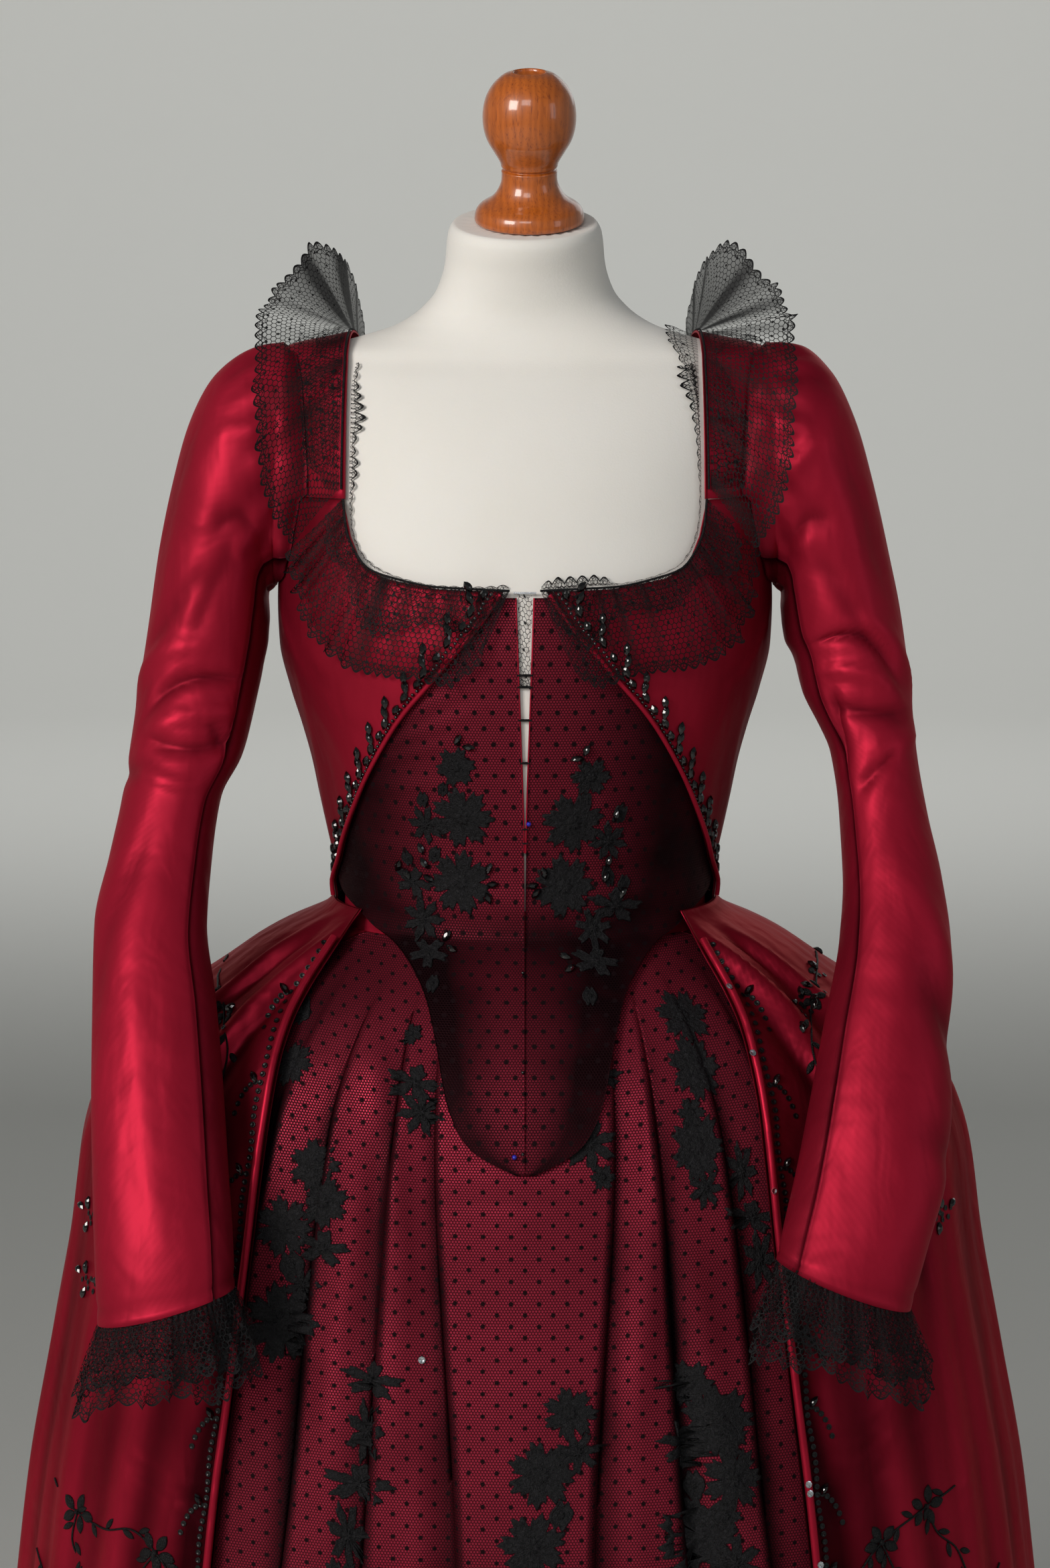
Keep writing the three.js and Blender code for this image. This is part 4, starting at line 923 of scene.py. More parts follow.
def stomacher_place(x, z, lift):
    upper = form_surface.lifted(form_surface.angle_at(x, z), z, lift + np.where(z > WAIST, band_lift(z), WAIST_LIFT))
    over_pleats = 4.5 * ease(WAIST - z, 42, 152)
    lower = petticoat_surface.lifted(petticoat_surface.angle_at(x, z), z, lift + WAIST_LIFT + over_pleats)
    at_band = petticoat_surface.lifted(petticoat_surface.angle_at(x, BAND_BOTTOM), BAND_BOTTOM + 0 * z,
                                       lift + WAIST_LIFT)
    at_band[..., 2] = z
    share = np.clip((z - BAND_BOTTOM) / (WAIST - BAND_BOTTOM), 0, 1)[..., None]
    return np.where((z < BAND_BOTTOM)[..., None], lower, mix(at_band, upper, share))


for side, word in SIDE_WORDS:
    z = np.linspace(1262, 882, 128)[:, None]
    u = columns(54)
    edge = np.minimum(stomacher_outer(z) + 9 * ease(z, 1050, 1075), form_surface.read["half"](z) * 0.985)
    reach = np.where(z > BAND_BOTTOM, form_surface.read["half"](z), petticoat_surface.read["half"](z))
    turn = mix(np.arcsin(stomacher_inner(z) / reach), np.arcsin(edge / reach), u)
    x, z = reach * np.sin(turn), np.broadcast_to(z, turn.shape)
    crease = creased(x, 1262 - z, STOMACHER_CREASES) * ease(u, 0, 0.15)
    crease = crease * (1.0 if side < 0 else 0.55)
    inner = softened(stomacher_place(x, z, 1.0 + 0 * x), 3)
    inner += -grid_normals(inner) * np.maximum(crease, -0.4)[..., None]
    # Where the sides turn away the net shows denser, and they also get painted shade.
    turned_side_net_and_shade = ease(x, *((44, 122) if side < 0 else (34, 116))) * 0.74 * ease(z, 990, 1040)
    # Painted shade darkens the outer edge towards the point, and a band of it lies along the waist's bend.
    point_edge_shade = ease(u, 0.1, 1.05) * 0.62 * ease(1045 - z, 0, 40)
    waist_shade = 0.28 * bell(z - 1026, 16)
    # Below the waist the tulle lies double, and all of it is darker on the side away from the light.
    lower = 0.26 * ease(1090 - z, 0, 70)
    shade = np.clip(turned_side_net_and_shade + point_edge_shade + waist_shade + lower + (0.30 if side > 0 else 0.16), 0, 0.9)
    cloth_panel(f"stomacher_half_{word}", f"stomacher_{word}", inner, SATIN, stomacher_tulle, "stretched",
                ["dress_form_body"], side=side, shade=shade)

# %% [markdown]
# ## The bodice
# Each side of the bodice is a front and a back that meet in a seam under the arm, and a strap
# over the shoulder.  The front's edge is cut back from the stomacher.  Seams pull their edges in
# by a fraction of a millimetre, which is what makes a seam show as a line of light and shade.

# %% Bodice fronts, backs and straps
BODICE_LIFT, SIDE_SEAM, NECK_EDGE = 3.4, 96, 1266
FRONT_TOP = table("angle z", [
    [4, 1266], [20, 1267], [34, 1273], [41, 1283], [44.5, 1300], [47, 1324.7], [70, 1324.7], [76, 1290],
    [84, 1268], [96, 1258]])
BACK_TOP = table("angle z", [
    [96, 1258], [104, 1284], [109, 1325], [114, 1374.7], [140, 1374.7], [145, 1398], [160, 1404], [180, 1405]])
STRAP = dict(inner=121, outer=154, inner_back=112, outer_back=149, outer_top=165, front_end=1325, back_end=1375)
BODICE_CREASES = table("across down long wide turn depth", [
    [196, 40, 30, 5, -40, 1.4], [176, 52, 26, 5, -30, -0.8], [150, 196, 60, 7, 84, 0.8],
    [190, 170, 55, 8, 80, -0.8], [120, 205, 30, 5, 20, 0.7], [205, 120, 60, 8, 75, 0.9],
    [90, 60, 50, 9, -65, 0.6], [230, 205, 40, 7, 60, 0.8],
])


def on_bodice(angle, z, lift=0.0):
    return form_surface.lifted(angle, z, BODICE_LIFT + band_lift(z) + lift)


def front_edge_angle(z):
    reach = np.minimum(stomacher_outer(np.maximum(z, 1058)), form_surface.read["half"](z) - 1)
    return form_surface.angle_at(reach, z)


def between(stations, steps):
    """Grid lines that keep every station, so that the corners of an edge stay sharp."""
    runs = [np.linspace(a, b, steps, endpoint=False) for a, b in zip(stations[:-1], stations[1:])]
    return np.concatenate(runs + [[stations[-1]]])


front_top, back_top = straight(FRONT_TOP, "angle", "z"), straight(BACK_TOP, "angle", "z")
seam_gap = 0.0012
for side, word in SIDE_WORDS:
    start, last = front_edge_angle(np.array(float(NECK_EDGE))), np.radians(SIDE_SEAM) - seam_gap
    stations = np.clip((np.radians([0, 20, 34, 41, 44.5, 47, 58, 70, 76, 84, 96]) - start) / (last - start), 0, 1)
    u = between(np.unique(stations), 8)[None, :]
    v = rows_of(64)
    z = mix(front_top(np.degrees(mix(start, last, u))), WAIST, v)
    angle = mix(front_edge_angle(np.minimum(z, NECK_EDGE)), last, u)
    reach = 160 * (angle - front_edge_angle(np.minimum(z, NECK_EDGE)))
    to_seam = 165 * (last - angle)
    lift = creased(160 * angle, NECK_EDGE - z, BODICE_CREASES) * ease(reach, 2, 26) * ease(to_seam, 2, 14)
    lift = np.clip(lift, -0.7, 1.6) - 0.5 * bell(to_seam, 2.5) * ease(1300 - z, 0, 40)
    inner = on_bodice(angle, z, lift)
    # Painted shade: darker along the front edge and the side seam, lighter on raised creases, and darker towards the
    # side, which turns away from the light.
    shade = 0.35 * bell(reach, 4) + 0.2 * bell(to_seam, 4) - 0.1 * np.clip(lift, 0, 2)
    shade = np.clip(shade + 0.12 + 0.48 * ease(np.degrees(angle), 38, 80), 0, 0.85)
    cloth_panel(f"bodice_front_panel_{word}", f"bodice_front_{word}", inner, SATIN, crimson_satin, "stretched",
                ["dress_form_body", f"stomacher_half_{word}"], side=side, level=True, shade=shade)

    first, last = np.radians(SIDE_SEAM) + seam_gap, np.pi - 0.0015
    stations = (np.radians([96, 104, 109, 114, 122, 131, 140, 145, 156, 168, 180]) - first) / (last - first)
    u = between(np.clip(stations, 0, 1), 6)[None, :]
    angle = mix(first, last, u)
    z = mix(back_top(np.degrees(angle)), WAIST, v)
    # Two shaped seams run from the arm down to the waist, as on an English back.
    arm_seam = 150 * (angle - np.radians(mix(128, 158, ease(-z, -1340, -1040))))
    to_side, to_middle = 165 * (angle - first), 165 * (last - angle)
    dip = 0.5 * (bell(arm_seam, 2) + bell(to_side, 2.5) + bell(to_middle, 2.5))
    ripple = creased(150 * (np.pi - angle), NECK_EDGE - z, BODICE_CREASES) * ease(dip, 0.4, 0)
    inner = on_bodice(angle, z, 0.45 - dip + np.clip(ripple, -0.3, 1.0))
    # The dips at the seams also carry painted shade.
    cloth_panel(f"bodice_back_panel_{word}", f"bodice_back_{word}", inner, SATIN, crimson_satin, "stretched",
                ["dress_form_body"], side=side, level=True, shade=0.5 * dip)


def shoulder_top(x):
    low, high = np.full(np.shape(x), 1405.0), np.full(np.shape(x), 1466.0)
    for _ in range(40):
        middle = (low + high) / 2
        wider = form_surface.read["half"](middle) > x
        low, high = np.where(wider, middle, low), np.where(wider, high, middle)
    return low


def on_shoulder(x, s):
    """x from the middle; s from -1 at the strap's front end to 1 at its back end."""
    top = shoulder_top(x) - 0.05
    z = top - (top - np.where(s < 0, STRAP["front_end"], STRAP["back_end"])) * s * s
    angle = form_surface.angle_at(x, z)
    return form_surface.at(np.where(s < 0, angle, np.pi - angle), z)


def on_strap(x, s, lift):
    x, s = np.broadcast_arrays(np.asarray(x, float), np.asarray(s, float))
    at = np.where(np.abs(s) < 0.02, 0.02, np.clip(s, -0.99, 0.99))
    across = on_shoulder(x + 0.5, at) - on_shoulder(x - 0.5, at)
    over = on_shoulder(x, at + 0.01) - on_shoulder(x, at - 0.01)
    return on_shoulder(x, s) + unit(np.cross(across, over)) * np.asarray(lift, float)[..., None]


for side, word in SIDE_WORDS:
    v = rows_of(72)
    s, back = mix(-1, 1, v), ease(v, 0.3, 1)
    outer = mix(mix(STRAP["outer"], STRAP["outer_back"], back), STRAP["outer_top"], 1 - s * s)
    x = mix(mix(STRAP["inner"], STRAP["inner_back"], back), outer, columns(20))
    inner = softened(on_strap(x, np.broadcast_to(s, x.shape), BODICE_LIFT + 0 * x), 4)
    cloth_panel(f"shoulder_strap_panel_{word}", f"shoulder_strap_{word}", inner, SATIN, crimson_satin, "stretched",
                ["dress_form_body"], out=1, side=side)

# %% [markdown]
# ## The sleeves
# Each sleeve is cut in two pieces that meet in seams at the front and the back of the arm and is
# bent at the elbow.  A sleeve is a tube of tilted rings: for each ring the table gives the outer
# and the inner edge as seen from the front, how far forward its middle is, and how deep it is.
# The two sleeves hang a little differently, so each has its own table and its own creases.  The
# deepest creases gather at the elbow and run into the front seam.

# %% Sleeve tables
SLEEVE_SEAM, SLEEVE_LENGTH = 42, 630
SLEEVE = {"right": table("outer_x outer_z inner_x inner_z y depth", [
    [168.8, 1430.5, 175.9, 1258, 5, 112], [192, 1425, 182, 1253, 4, 120], [215, 1409, 182, 1247, 2, 122],
    [233, 1378, 181, 1240, -1, 118], [246, 1335, 180, 1232, -5, 112], [257, 1285, 180, 1221, -10, 106],
    [264, 1238, 182, 1207, -16, 100], [271, 1190, 187, 1182, -28, 94], [277, 1146, 196, 1146, -44, 88],
    [281, 1116, 210, 1118, -59, 82], [288, 1080, 215, 1080, -80, 80], [296, 1038, 217, 1038, -106, 80],
    [295, 990, 209, 990, -136, 80], [293, 935, 202, 935, -168, 78], [290, 884, 197, 884, -195, 74],
    [287, 838, 193, 850, -217, 70], [284, 792, 191, 818, -232, 66]]),
    "left": table("outer_x outer_z inner_x inner_z y depth", [
    [168.8, 1430.5, 175.9, 1258, 5, 112], [192, 1428, 182, 1253, 4, 120], [213, 1411, 182, 1247, 2, 122],
    [230, 1378, 181, 1240, -1, 118], [243, 1335, 181, 1232, -5, 112], [255, 1285, 182, 1221, -10, 106],
    [264, 1242, 187, 1211, -16, 98], [270, 1194, 193, 1188, -28, 90], [274, 1147, 212, 1147, -44, 82],
    [280, 1108, 217, 1108, -62, 80], [288, 1067, 218, 1067, -88, 80], [292, 1027, 214, 1027, -114, 80],
    [290, 977, 202, 977, -144, 80], [288, 931, 191, 931, -172, 78], [283, 886, 180, 886, -196, 74],
    [270, 846, 171, 856, -216, 70], [256, 802, 165, 837, -232, 66]])}
# across: mm round the arm from its inner edge; down: mm along the sleeve from its head.
SLEEVE_CREASES = {
    "right": table("across down long wide turn depth bow", [
        [70, 262, 34, 7, 24, -4.6, 8], [64, 284, 34, 6, 12, 3, 6], [66, 306, 32, 6, -4, -4.2, -4],
        [96, 250, 38, 9, 34, 2.6, 6], [74, 330, 28, 8, -18, 2, 0], [38, 300, 16, 6, -40, -3, 0],
        [88, 214, 44, 9, 62, -1.8, 0], [62, 180, 60, 8, 80, -1.6, 0], [110, 150, 60, 12, 86, -1.2, 0],
        [60, 96, 44, 6, 78, -2.6, 0], [48, 88, 36, 5, 84, 2, 0], [84, 60, 32, 5, 80, 1.6, 0],
        [110, 42, 28, 5, 88, -1.4, 0], [92, 420, 70, 14, 70, -1.6, 0], [70, 520, 60, 12, 96, 1.4, 0],
        [120, 330, 40, 12, 20, -1.8, 0], [200, 270, 40, 9, 0, -2.8, 0], [210, 300, 36, 8, 8, 2, 0],
        [260, 240, 34, 8, -16, -2.2, 0], [180, 420, 70, 14, 80, -1.6, 0], [230, 120, 60, 12, 84, -1.6, 0]]),
    "left": table("across down long wide turn depth bow", [
        [74, 236, 34, 7, 40, -4.4, 8], [70, 262, 34, 6, 24, 3.2, 6], [72, 288, 32, 6, 8, -4.6, 0],
        [90, 306, 30, 7, -8, 2.4, 0], [62, 322, 26, 6, -30, -3.4, 0], [36, 300, 26, 6, -72, -3.2, 0],
        [100, 250, 40, 9, 48, 2.4, 0], [66, 190, 56, 8, 76, -2, 0], [96, 150, 60, 12, 84, -1.4, 0],
        [58, 92, 44, 6, 74, -2.8, 0], [46, 84, 36, 5, 80, 2, 0], [78, 64, 36, 5, 70, 1.8, 0],
        [104, 44, 30, 5, 82, -1.6, 0], [110, 470, 44, 16, 40, -3, 0], [96, 420, 50, 12, 54, 1.6, 0],
        [122, 540, 44, 12, 30, -1.8, 0], [200, 270, 40, 9, 0, -2.8, 0], [212, 296, 36, 8, 8, 2, 0],
        [258, 250, 34, 8, -16, -2.2, 0], [180, 430, 70, 14, 80, -1.6, 0], [234, 130, 60, 12, 84, -1.6, 0]])}


def on_ring(ring, turn, lift):
    """turn 0 is the inner edge of the arm, 90 degrees the front and 180 the outer edge."""
    zero = np.zeros_like(ring["y"])
    middle = np.stack([(ring["outer_x"] + ring["inner_x"]) / 2, ring["y"],
                       (ring["outer_z"] + ring["inner_z"]) / 2], axis=-1)
    arm = np.stack([ring["inner_x"] - ring["outer_x"], zero, ring["inner_z"] - ring["outer_z"]], axis=-1)
    half = np.linalg.norm(arm, axis=-1) / 2
    forward = np.array([0, -1.0, 0])
    return (middle + unit(arm) * ((half + lift) * np.cos(turn))[..., None]
            + forward * ((ring["depth"] / 2 + lift) * np.sin(turn))[..., None])


# %% Two-piece sleeves
# The armhole's line, seen from the front: how far out its edge lies at each height.
ARMHOLE = {"front": table("z x", [[1262, 170], [1268, 168], [1290, 163], [1324, 157], [1328, 151], [1360, 153],
                                  [1400, 157], [1420, 162]]),
           "back": table("z x", [[1262, 170], [1284, 167], [1325, 160], [1372, 153], [1376, 146], [1400, 154],
                                 [1420, 162]])}
HEAD_ROWS = 8


def with_head(inner, down, lift, turn, to_seam):
    """Adds the rows that carry the sleeve's head over the shoulder's side to the armhole seam."""
    first, front = inner[0], np.sin(turn[0]) > 0
    z = np.clip(first[:, 2], 1262, 1420)
    edge = np.where(front, straight(ARMHOLE["front"], "z", "x")(z), straight(ARMHOLE["back"], "z", "x")(z))
    angle = form_surface.angle_at(edge * 0.965, z)
    seam = form_surface.lifted(np.where(front, angle, np.pi - angle), z, BODICE_LIFT + SATIN + 0.8 + 0 * z)
    covers = ease(np.abs(np.sin(turn[0])), 0.12, 0.5)[:, None]
    seam = mix(first - [0.5, 0, 0], seam, covers)
    share = (np.arange(HEAD_ROWS) / HEAD_ROWS)[:, None]
    puff = 2.2 * np.sin(np.pi * share) * (1 + 0.5 * np.sin(17 * turn[:1]))
    rows = mix(seam[None], first[None], share[..., None])
    rows[..., 0] += 0.3 * puff
    rows[..., 1] -= puff * np.sign(np.sin(turn[:1])) * covers[:, 0]
    back_up = np.repeat(-18 * (1 - share), inner.shape[1], axis=1)
    grown_by = [(rows, inner), (back_up, down), (0 * back_up, lift), (np.repeat(turn[:1], HEAD_ROWS, 0), turn),
                (np.repeat(to_seam[:1] + 0 * turn[:1], HEAD_ROWS, 0), to_seam + 0 * turn)]
    return [np.concatenate(pair) for pair in grown_by]


for side, word in SIDE_WORDS:
    for name, begin in (("upper", SLEEVE_SEAM), ("under", SLEEVE_SEAM + 180)):
        end = begin + 180
        along = rows_of(140)
        degrees = mix(begin + 0.25, end - 0.25, np.linspace(0, 1, 50))[None, :]
        turn = np.radians(degrees) + 0 * along
        ring = {key: curve(along) + 0 * turn for key, curve in by_share(SLEEVE[word]).items()}
        down = SLEEVE_LENGTH * along + 0 * turn
        round_arm = (degrees % 360) * 0.72 + 0 * along
        lift = 1.3 * creased(round_arm, down, SLEEVE_CREASES[word], 0.72)
        lift += 1.3 * creased(round_arm - 260, down, SLEEVE_CREASES[word], 0.72)
        # Small gathers ease the sleeve's head into the armhole.
        gathers = np.sin(np.radians(degrees) * 17 + 1.3 * np.sin(np.radians(degrees) * 3))
        lift += 1.5 * gathers * bell(down - 22, 26) * ease(down, 2, 12)
        to_seam = np.minimum(degrees - begin, end - degrees) * 0.72
        lift = np.clip(lift, -8.5, 5.5) * ease(to_seam + 4, 0, 12) - 0.9 * bell(to_seam, 2.2)
        lift = lift * ease(down, 0, 8) - 0.8 * bell(down - SLEEVE_LENGTH + 9, 3.0)
        inner = on_ring(ring, turn, lift - SATIN - 1.0)
        inner, down, lift, turn, to_seam = with_head(inner, down, lift, turn, to_seam)
        # The under panel gets painted shade, as the sleeve's inner side is turned from the light, and painted shade
        # also darkens the seams, the fold troughs and the head.
        depth = 0.5 * bell(to_seam, 3.0) - 0.10 * lift + 0.35 * ease(down, 0, -12)
        shade = np.clip(depth + (0.40 if name == "under" else 0.04), 0, 0.85)
        cloth_panel(f"sleeve_{name}_panel_{word}", f"sleeve_{name}_{word}", inner, SATIN, crimson_satin, "hung",
                    [f"shoulder_strap_panel_{word}"], side=side, shade=shade)

# %% [markdown]
# ## The petticoat
# The front of the petticoat is laid in knife pleats away from a flat middle panel.  A pleat is a
# step: the cloth runs out to a fold, turns under and comes back, so across the front the surface
# rises slowly to each fold line and drops sharply beyond it.  The fold lines spread towards the
# hem, and lower down they soften and sway, because nothing presses them there.

# %% Petticoat band and front
PLEATS = table("fold hip thigh knee hem", [
    [0, 0, 0, 0, 0], [1, 52, 57, 41, 34], [2, 68, 84, 104, 160], [3, 92, 128, 158, 236],
    [4, 120, 164, 208, 306], [5, 150, 250, 310, 388]])
PLEAT_RISE, TURN_UNDER, PETTICOAT_TOP = 6, 0.08, 1021.7
PETTICOAT_CREASES = table("across down long wide turn depth", [
    [-92, 130, 90, 9, 82, 3], [-104, 190, 110, 10, 98, -3.4], [-84, 240, 90, 9, 90, 2.6],
    [-126, 330, 150, 12, 96, 3.2], [-150, 300, 160, 12, 100, -3], [-70, 420, 160, 10, 93, 2.4],
    [-60, 330, 120, 8, 88, -2.2], [84, 200, 100, 9, 96, 2.8], [100, 250, 130, 10, 84, -3],
    [126, 300, 130, 11, 80, 2.8], [112, 420, 150, 12, 86, -2.6], [74, 380, 150, 9, 90, 2],
    [150, 460, 170, 14, 84, 2.8], [0, 148, 52, 2.4, 0, 1.8], [-6, 155, 40, 2.6, 3, -1.5],
    [14, 520, 220, 30, 88, 2], [-22, 700, 220, 24, 92, -2], [-190, 560, 200, 16, 98, 3],
    [190, 620, 200, 16, 82, 3], [-110, 760, 200, 16, 95, 3], [96, 800, 180, 15, 86, -2.6],
])


def fold_at(fold, z):
    """How far from the middle the cloth lies that is at this place among the folds."""
    at = {key: straight(PLEATS, "fold", key)(fold) for key in ("hip", "thigh", "knee", "hem")}
    heights = [24, 634, 905, 1000, BAND_BOTTOM]
    places = np.stack([at["hem"], at["knee"], at["thigh"], at["hip"], at["hip"] * 0.72], axis=-1)
    curves = [smooth_curve([dict(z=h, x=x) for h, x in zip(heights, row)], "z", "x") for row in places]
    return np.stack([curve(z) for curve in curves], axis=1)


band_angles = np.linspace(0, 2 * np.pi, 160, endpoint=False)[None, :]
# The band runs on a little way inside the petticoat, whose top edge is sewn to it.
band_heights = np.array([1044, 1042.5, 1038, 1030, 1023.5, 1017.0])[:, None]
inner = form_surface.lifted(band_angles, band_heights, 0.4 + 0 * band_angles + 0 * band_heights)
cloth_panel("petticoat_waistband", "petticoat_band", inner, SKIRT_CLOTH, crimson_satin, "stretched",
            ["dress_form_body"], closed=True, level=True)

steps = [np.linspace(0, 1, 16, endpoint=False)]
for fold in range(1, 5):
    steps += [np.linspace(fold, fold + TURN_UNDER, 5, endpoint=False),
              np.linspace(fold + TURN_UNDER, fold + 1, 12, endpoint=False)]
half_folds = np.concatenate(steps + [[5.0]])
rows = PETTICOAT_TOP - (PETTICOAT_TOP - 30) * np.linspace(0, 1, 112) ** 1.25
part = half_folds - np.floor(half_folds)
out_again = (np.maximum(part - TURN_UNDER, 0) / (1 - TURN_UNDER)) ** 1.2
rise = np.where(half_folds < 1, 1.0, np.where(part < TURN_UNDER, 1 - ease(part, 0, TURN_UNDER), out_again))
rise = np.where(half_folds >= 4.08, 0.3 * ease(half_folds, 4.08, 4.5) - 0.1 * ease(half_folds, 4.5, 5), rise)
rise = np.where(half_folds == 5, 0.2, rise)
under = np.where(half_folds < 1, 0, bell(part - TURN_UNDER, 0.22) * (half_folds < 4.6))
outward = fold_at(half_folds, rows)
x = np.concatenate([-outward[:, :0:-1], outward], axis=1)
rise, under = (np.concatenate([v[:0:-1], v])[None, :] for v in (rise, under))
z = np.broadcast_to(rows[:, None], x.shape)
fall = ease(1016 - z, 0, 130)
low = ease(1016 - z, 200, 900)
# Away from the waist the folds sway a little from side to side.
sway = 5.0 * low * np.sin(z / 118 + 2.2 * np.sign(x) + 0.012 * x) * ease(np.abs(x), 20, 70)
x_bent = x + sway
angle = petticoat_surface.either_side(x_bent, z)
lift = PLEAT_RISE * rise * fall - 8.0 * low * (1 - rise) * (np.abs(x) < 0.86 * outward[:, -1:])
crease = creased(x, 1022 - z, PETTICOAT_CREASES) * ease(1000 - z, 0, 60)
at_edges = ease(outward[:, -1:] - np.abs(x), 0, 30)
lift += np.clip(crease, -5, 4) * at_edges
inner = petticoat_surface.lifted(angle, z, lift)
# Painted shade: darker just under each fold line, in the troughs of the creases, and towards the sides of the front,
# where it turns away and the net also shows denser.
side_net_and_shade = ease(np.abs(x) / outward[:, -1:], 0.30, 0.95) * 0.42
shade = np.clip(0.75 * under * fall + side_net_and_shade + 0.05 * np.clip(-crease, 0, 5), 0, 0.92)
cloth_panel("petticoat_front_panel", "petticoat_front", inner, SKIRT_CLOTH, petticoat_tulle, "gathered",
            ["petticoat_waistband"], level=True, shade=shade, middle=len(half_folds) - 1)

# %% [markdown]
# ## The petticoat's back
# Under the overskirt the petticoat goes on round the back as plain satin, gathered into the same
# band.  It is only seen from below and between the overskirt's edges, so its folds are simple.

# %% Petticoat back
rows = PETTICOAT_TOP - (PETTICOAT_TOP - 30) * np.linspace(0, 1, 60) ** 1.3
start = petticoat_surface.angle_at(fold_at(np.array([5.0]), rows)[:, 0], rows)
start += 0.9 / petticoat_surface.read["half"](rows)
u = columns(124)
angle, z = mix(start[:, None], 2 * np.pi - start[:, None], u), rows[:, None] + 0 * u
wave = 1 - np.cos(2 * np.pi * 9 * u + 0.8 * np.sin(2 * np.pi * 2 * u) * np.sin(np.pi * u))
inner = petticoat_surface.lifted(angle, z, 1.2 * ease(1016 - z, 0, 130) + 2.2 * wave * ease(1000 - z, 0, 700))
# Painted shade: the back is darker all over, and darker in the troughs of its gathers than on their crests.
cloth_panel("petticoat_back_panel", "petticoat_back", inner, SKIRT_CLOTH, crimson_satin, "gathered",
            ["petticoat_waistband"], level=True, shade=0.35 - 0.15 * wave + 0 * z)

# %% [markdown]
# ## The overskirt
# Each half of the overskirt is sewn to the waist and falls over the hip to the floor, open at the
# front.  Close to the opening the silk is nearly smooth.  From the hip round to the back it is
# gathered, so it falls in tubes that deepen towards the hem.  No two tubes are alike: each has
# its own place, width, depth and lean in the table, and two or three more are wide soft folds
# that start at the waist and swing out over the hip.

# %% Overskirt halves and their rolled edges
FRONT_EDGE = table("z right left", [
    [1037.7, 114, 108], [1014, 132, 122], [988, 150, 138], [971, 159, 146], [950, 166, 152], [924, 171, 157],
    [889, 176, 161], [841, 182, 166], [743, 194, 177], [633, 208, 190], [300, 238, 222], [20, 258, 244]])
ROLL_RADIUS, SKIRT_TOP = 2.7, 1037.7
# u: share of the way from the front edge to centre back; begin and full: mm below the waist
# where the fold starts and where it is fully formed; lean: how far it drifts with the fall.
OVERSKIRT_TUBES = {
    "right": table("u width depth begin full lean", [
        [0.055, 0.02, 4, 150, 560, 0.01], [0.105, 0.022, 6.5, 120, 620, 0.012], [0.15, 0.016, 4.5, 240, 700, 0.004],
        [0.2, 0.024, 7.5, 60, 560, 0.006], [0.25, 0.018, 6, 200, 640, -0.004], [0.305, 0.026, 8.5, 40, 500, 0.004],
        [0.36, 0.018, 7, 150, 520, 0], [0.412, 0.024, 10, 30, 460, 0.002], [0.465, 0.02, 8.5, 90, 480, 0],
        [0.52, 0.026, 11, 20, 420, 0], [0.575, 0.019, 9, 60, 460, 0.002], [0.628, 0.025, 12, 20, 400, 0],
        [0.685, 0.02, 10, 50, 430, -0.003], [0.738, 0.026, 12, 15, 400, 0], [0.792, 0.019, 10, 40, 420, 0],
        [0.845, 0.024, 12, 15, 400, 0.002], [0.9, 0.02, 11, 20, 400, 0], [0.955, 0.022, 12, 10, 380, 0]]),
    "left": table("u width depth begin full lean", [
        [0.05, 0.018, 3.5, 200, 600, 0.01], [0.095, 0.022, 6, 140, 600, 0.014], [0.145, 0.018, 5, 180, 640, 0.006],
        [0.19, 0.02, 7, 90, 600, 0.004], [0.245, 0.024, 7.5, 60, 540, 0.004], [0.298, 0.018, 6.5, 160, 560, 0],
        [0.35, 0.025, 9, 30, 500, 0.002], [0.405, 0.019, 7.5, 100, 500, 0], [0.46, 0.025, 10, 20, 450, 0],
        [0.512, 0.019, 9, 70, 470, 0], [0.565, 0.026, 12, 20, 410, 0.002], [0.62, 0.02, 9.5, 60, 440, 0],
        [0.675, 0.025, 12, 20, 400, 0], [0.73, 0.019, 10, 40, 430, 0], [0.785, 0.025, 12, 15, 400, 0],
        [0.84, 0.02, 11, 30, 410, 0], [0.893, 0.024, 12, 15, 390, -0.002], [0.95, 0.021, 11, 10, 380, 0]])}
# across and down: mm from the front edge and from the waist, for the swinging hip folds.
HIP_CREASES = {
    "right": table("across down long wide turn depth bow", [
        [40, 34, 70, 9, 40, 4.5, 10], [66, 22, 76, 8, 32, -3, 10], [92, 40, 80, 10, 36, 4.6, 10],
        [60, 84, 80, 10, 58, -2.4, 8], [128, 56, 90, 12, 42, -3.2, 8], [104, 120, 90, 14, 66, 3.2, 0],
        [150, 150, 100, 14, 72, -2.8, 0], [170, 80, 90, 13, 52, 4, 0], [30, 240, 90, 12, 84, 1.8, 0]]),
    "left": table("across down long wide turn depth bow", [
        [44, 30, 70, 9, 34, 4.2, 8], [74, 20, 80, 8, 26, -3, 8], [104, 38, 84, 9, 30, 5, 8],
        [58, 88, 84, 11, 60, -2.2, 6], [136, 58, 90, 12, 40, -3.2, 8], [96, 126, 90, 14, 68, 3, 0],
        [144, 156, 100, 14, 74, -2.8, 0], [176, 84, 90, 13, 50, 4, 0], [26, 260, 90, 12, 86, 1.6, 0]])}
skirt_edge = {word: smooth_curve(FRONT_EDGE, "z", word) for word in ("right", "left")}


def edge_angle(word, z):
    return overskirt_surface.angle_at(skirt_edge[word](z), z)


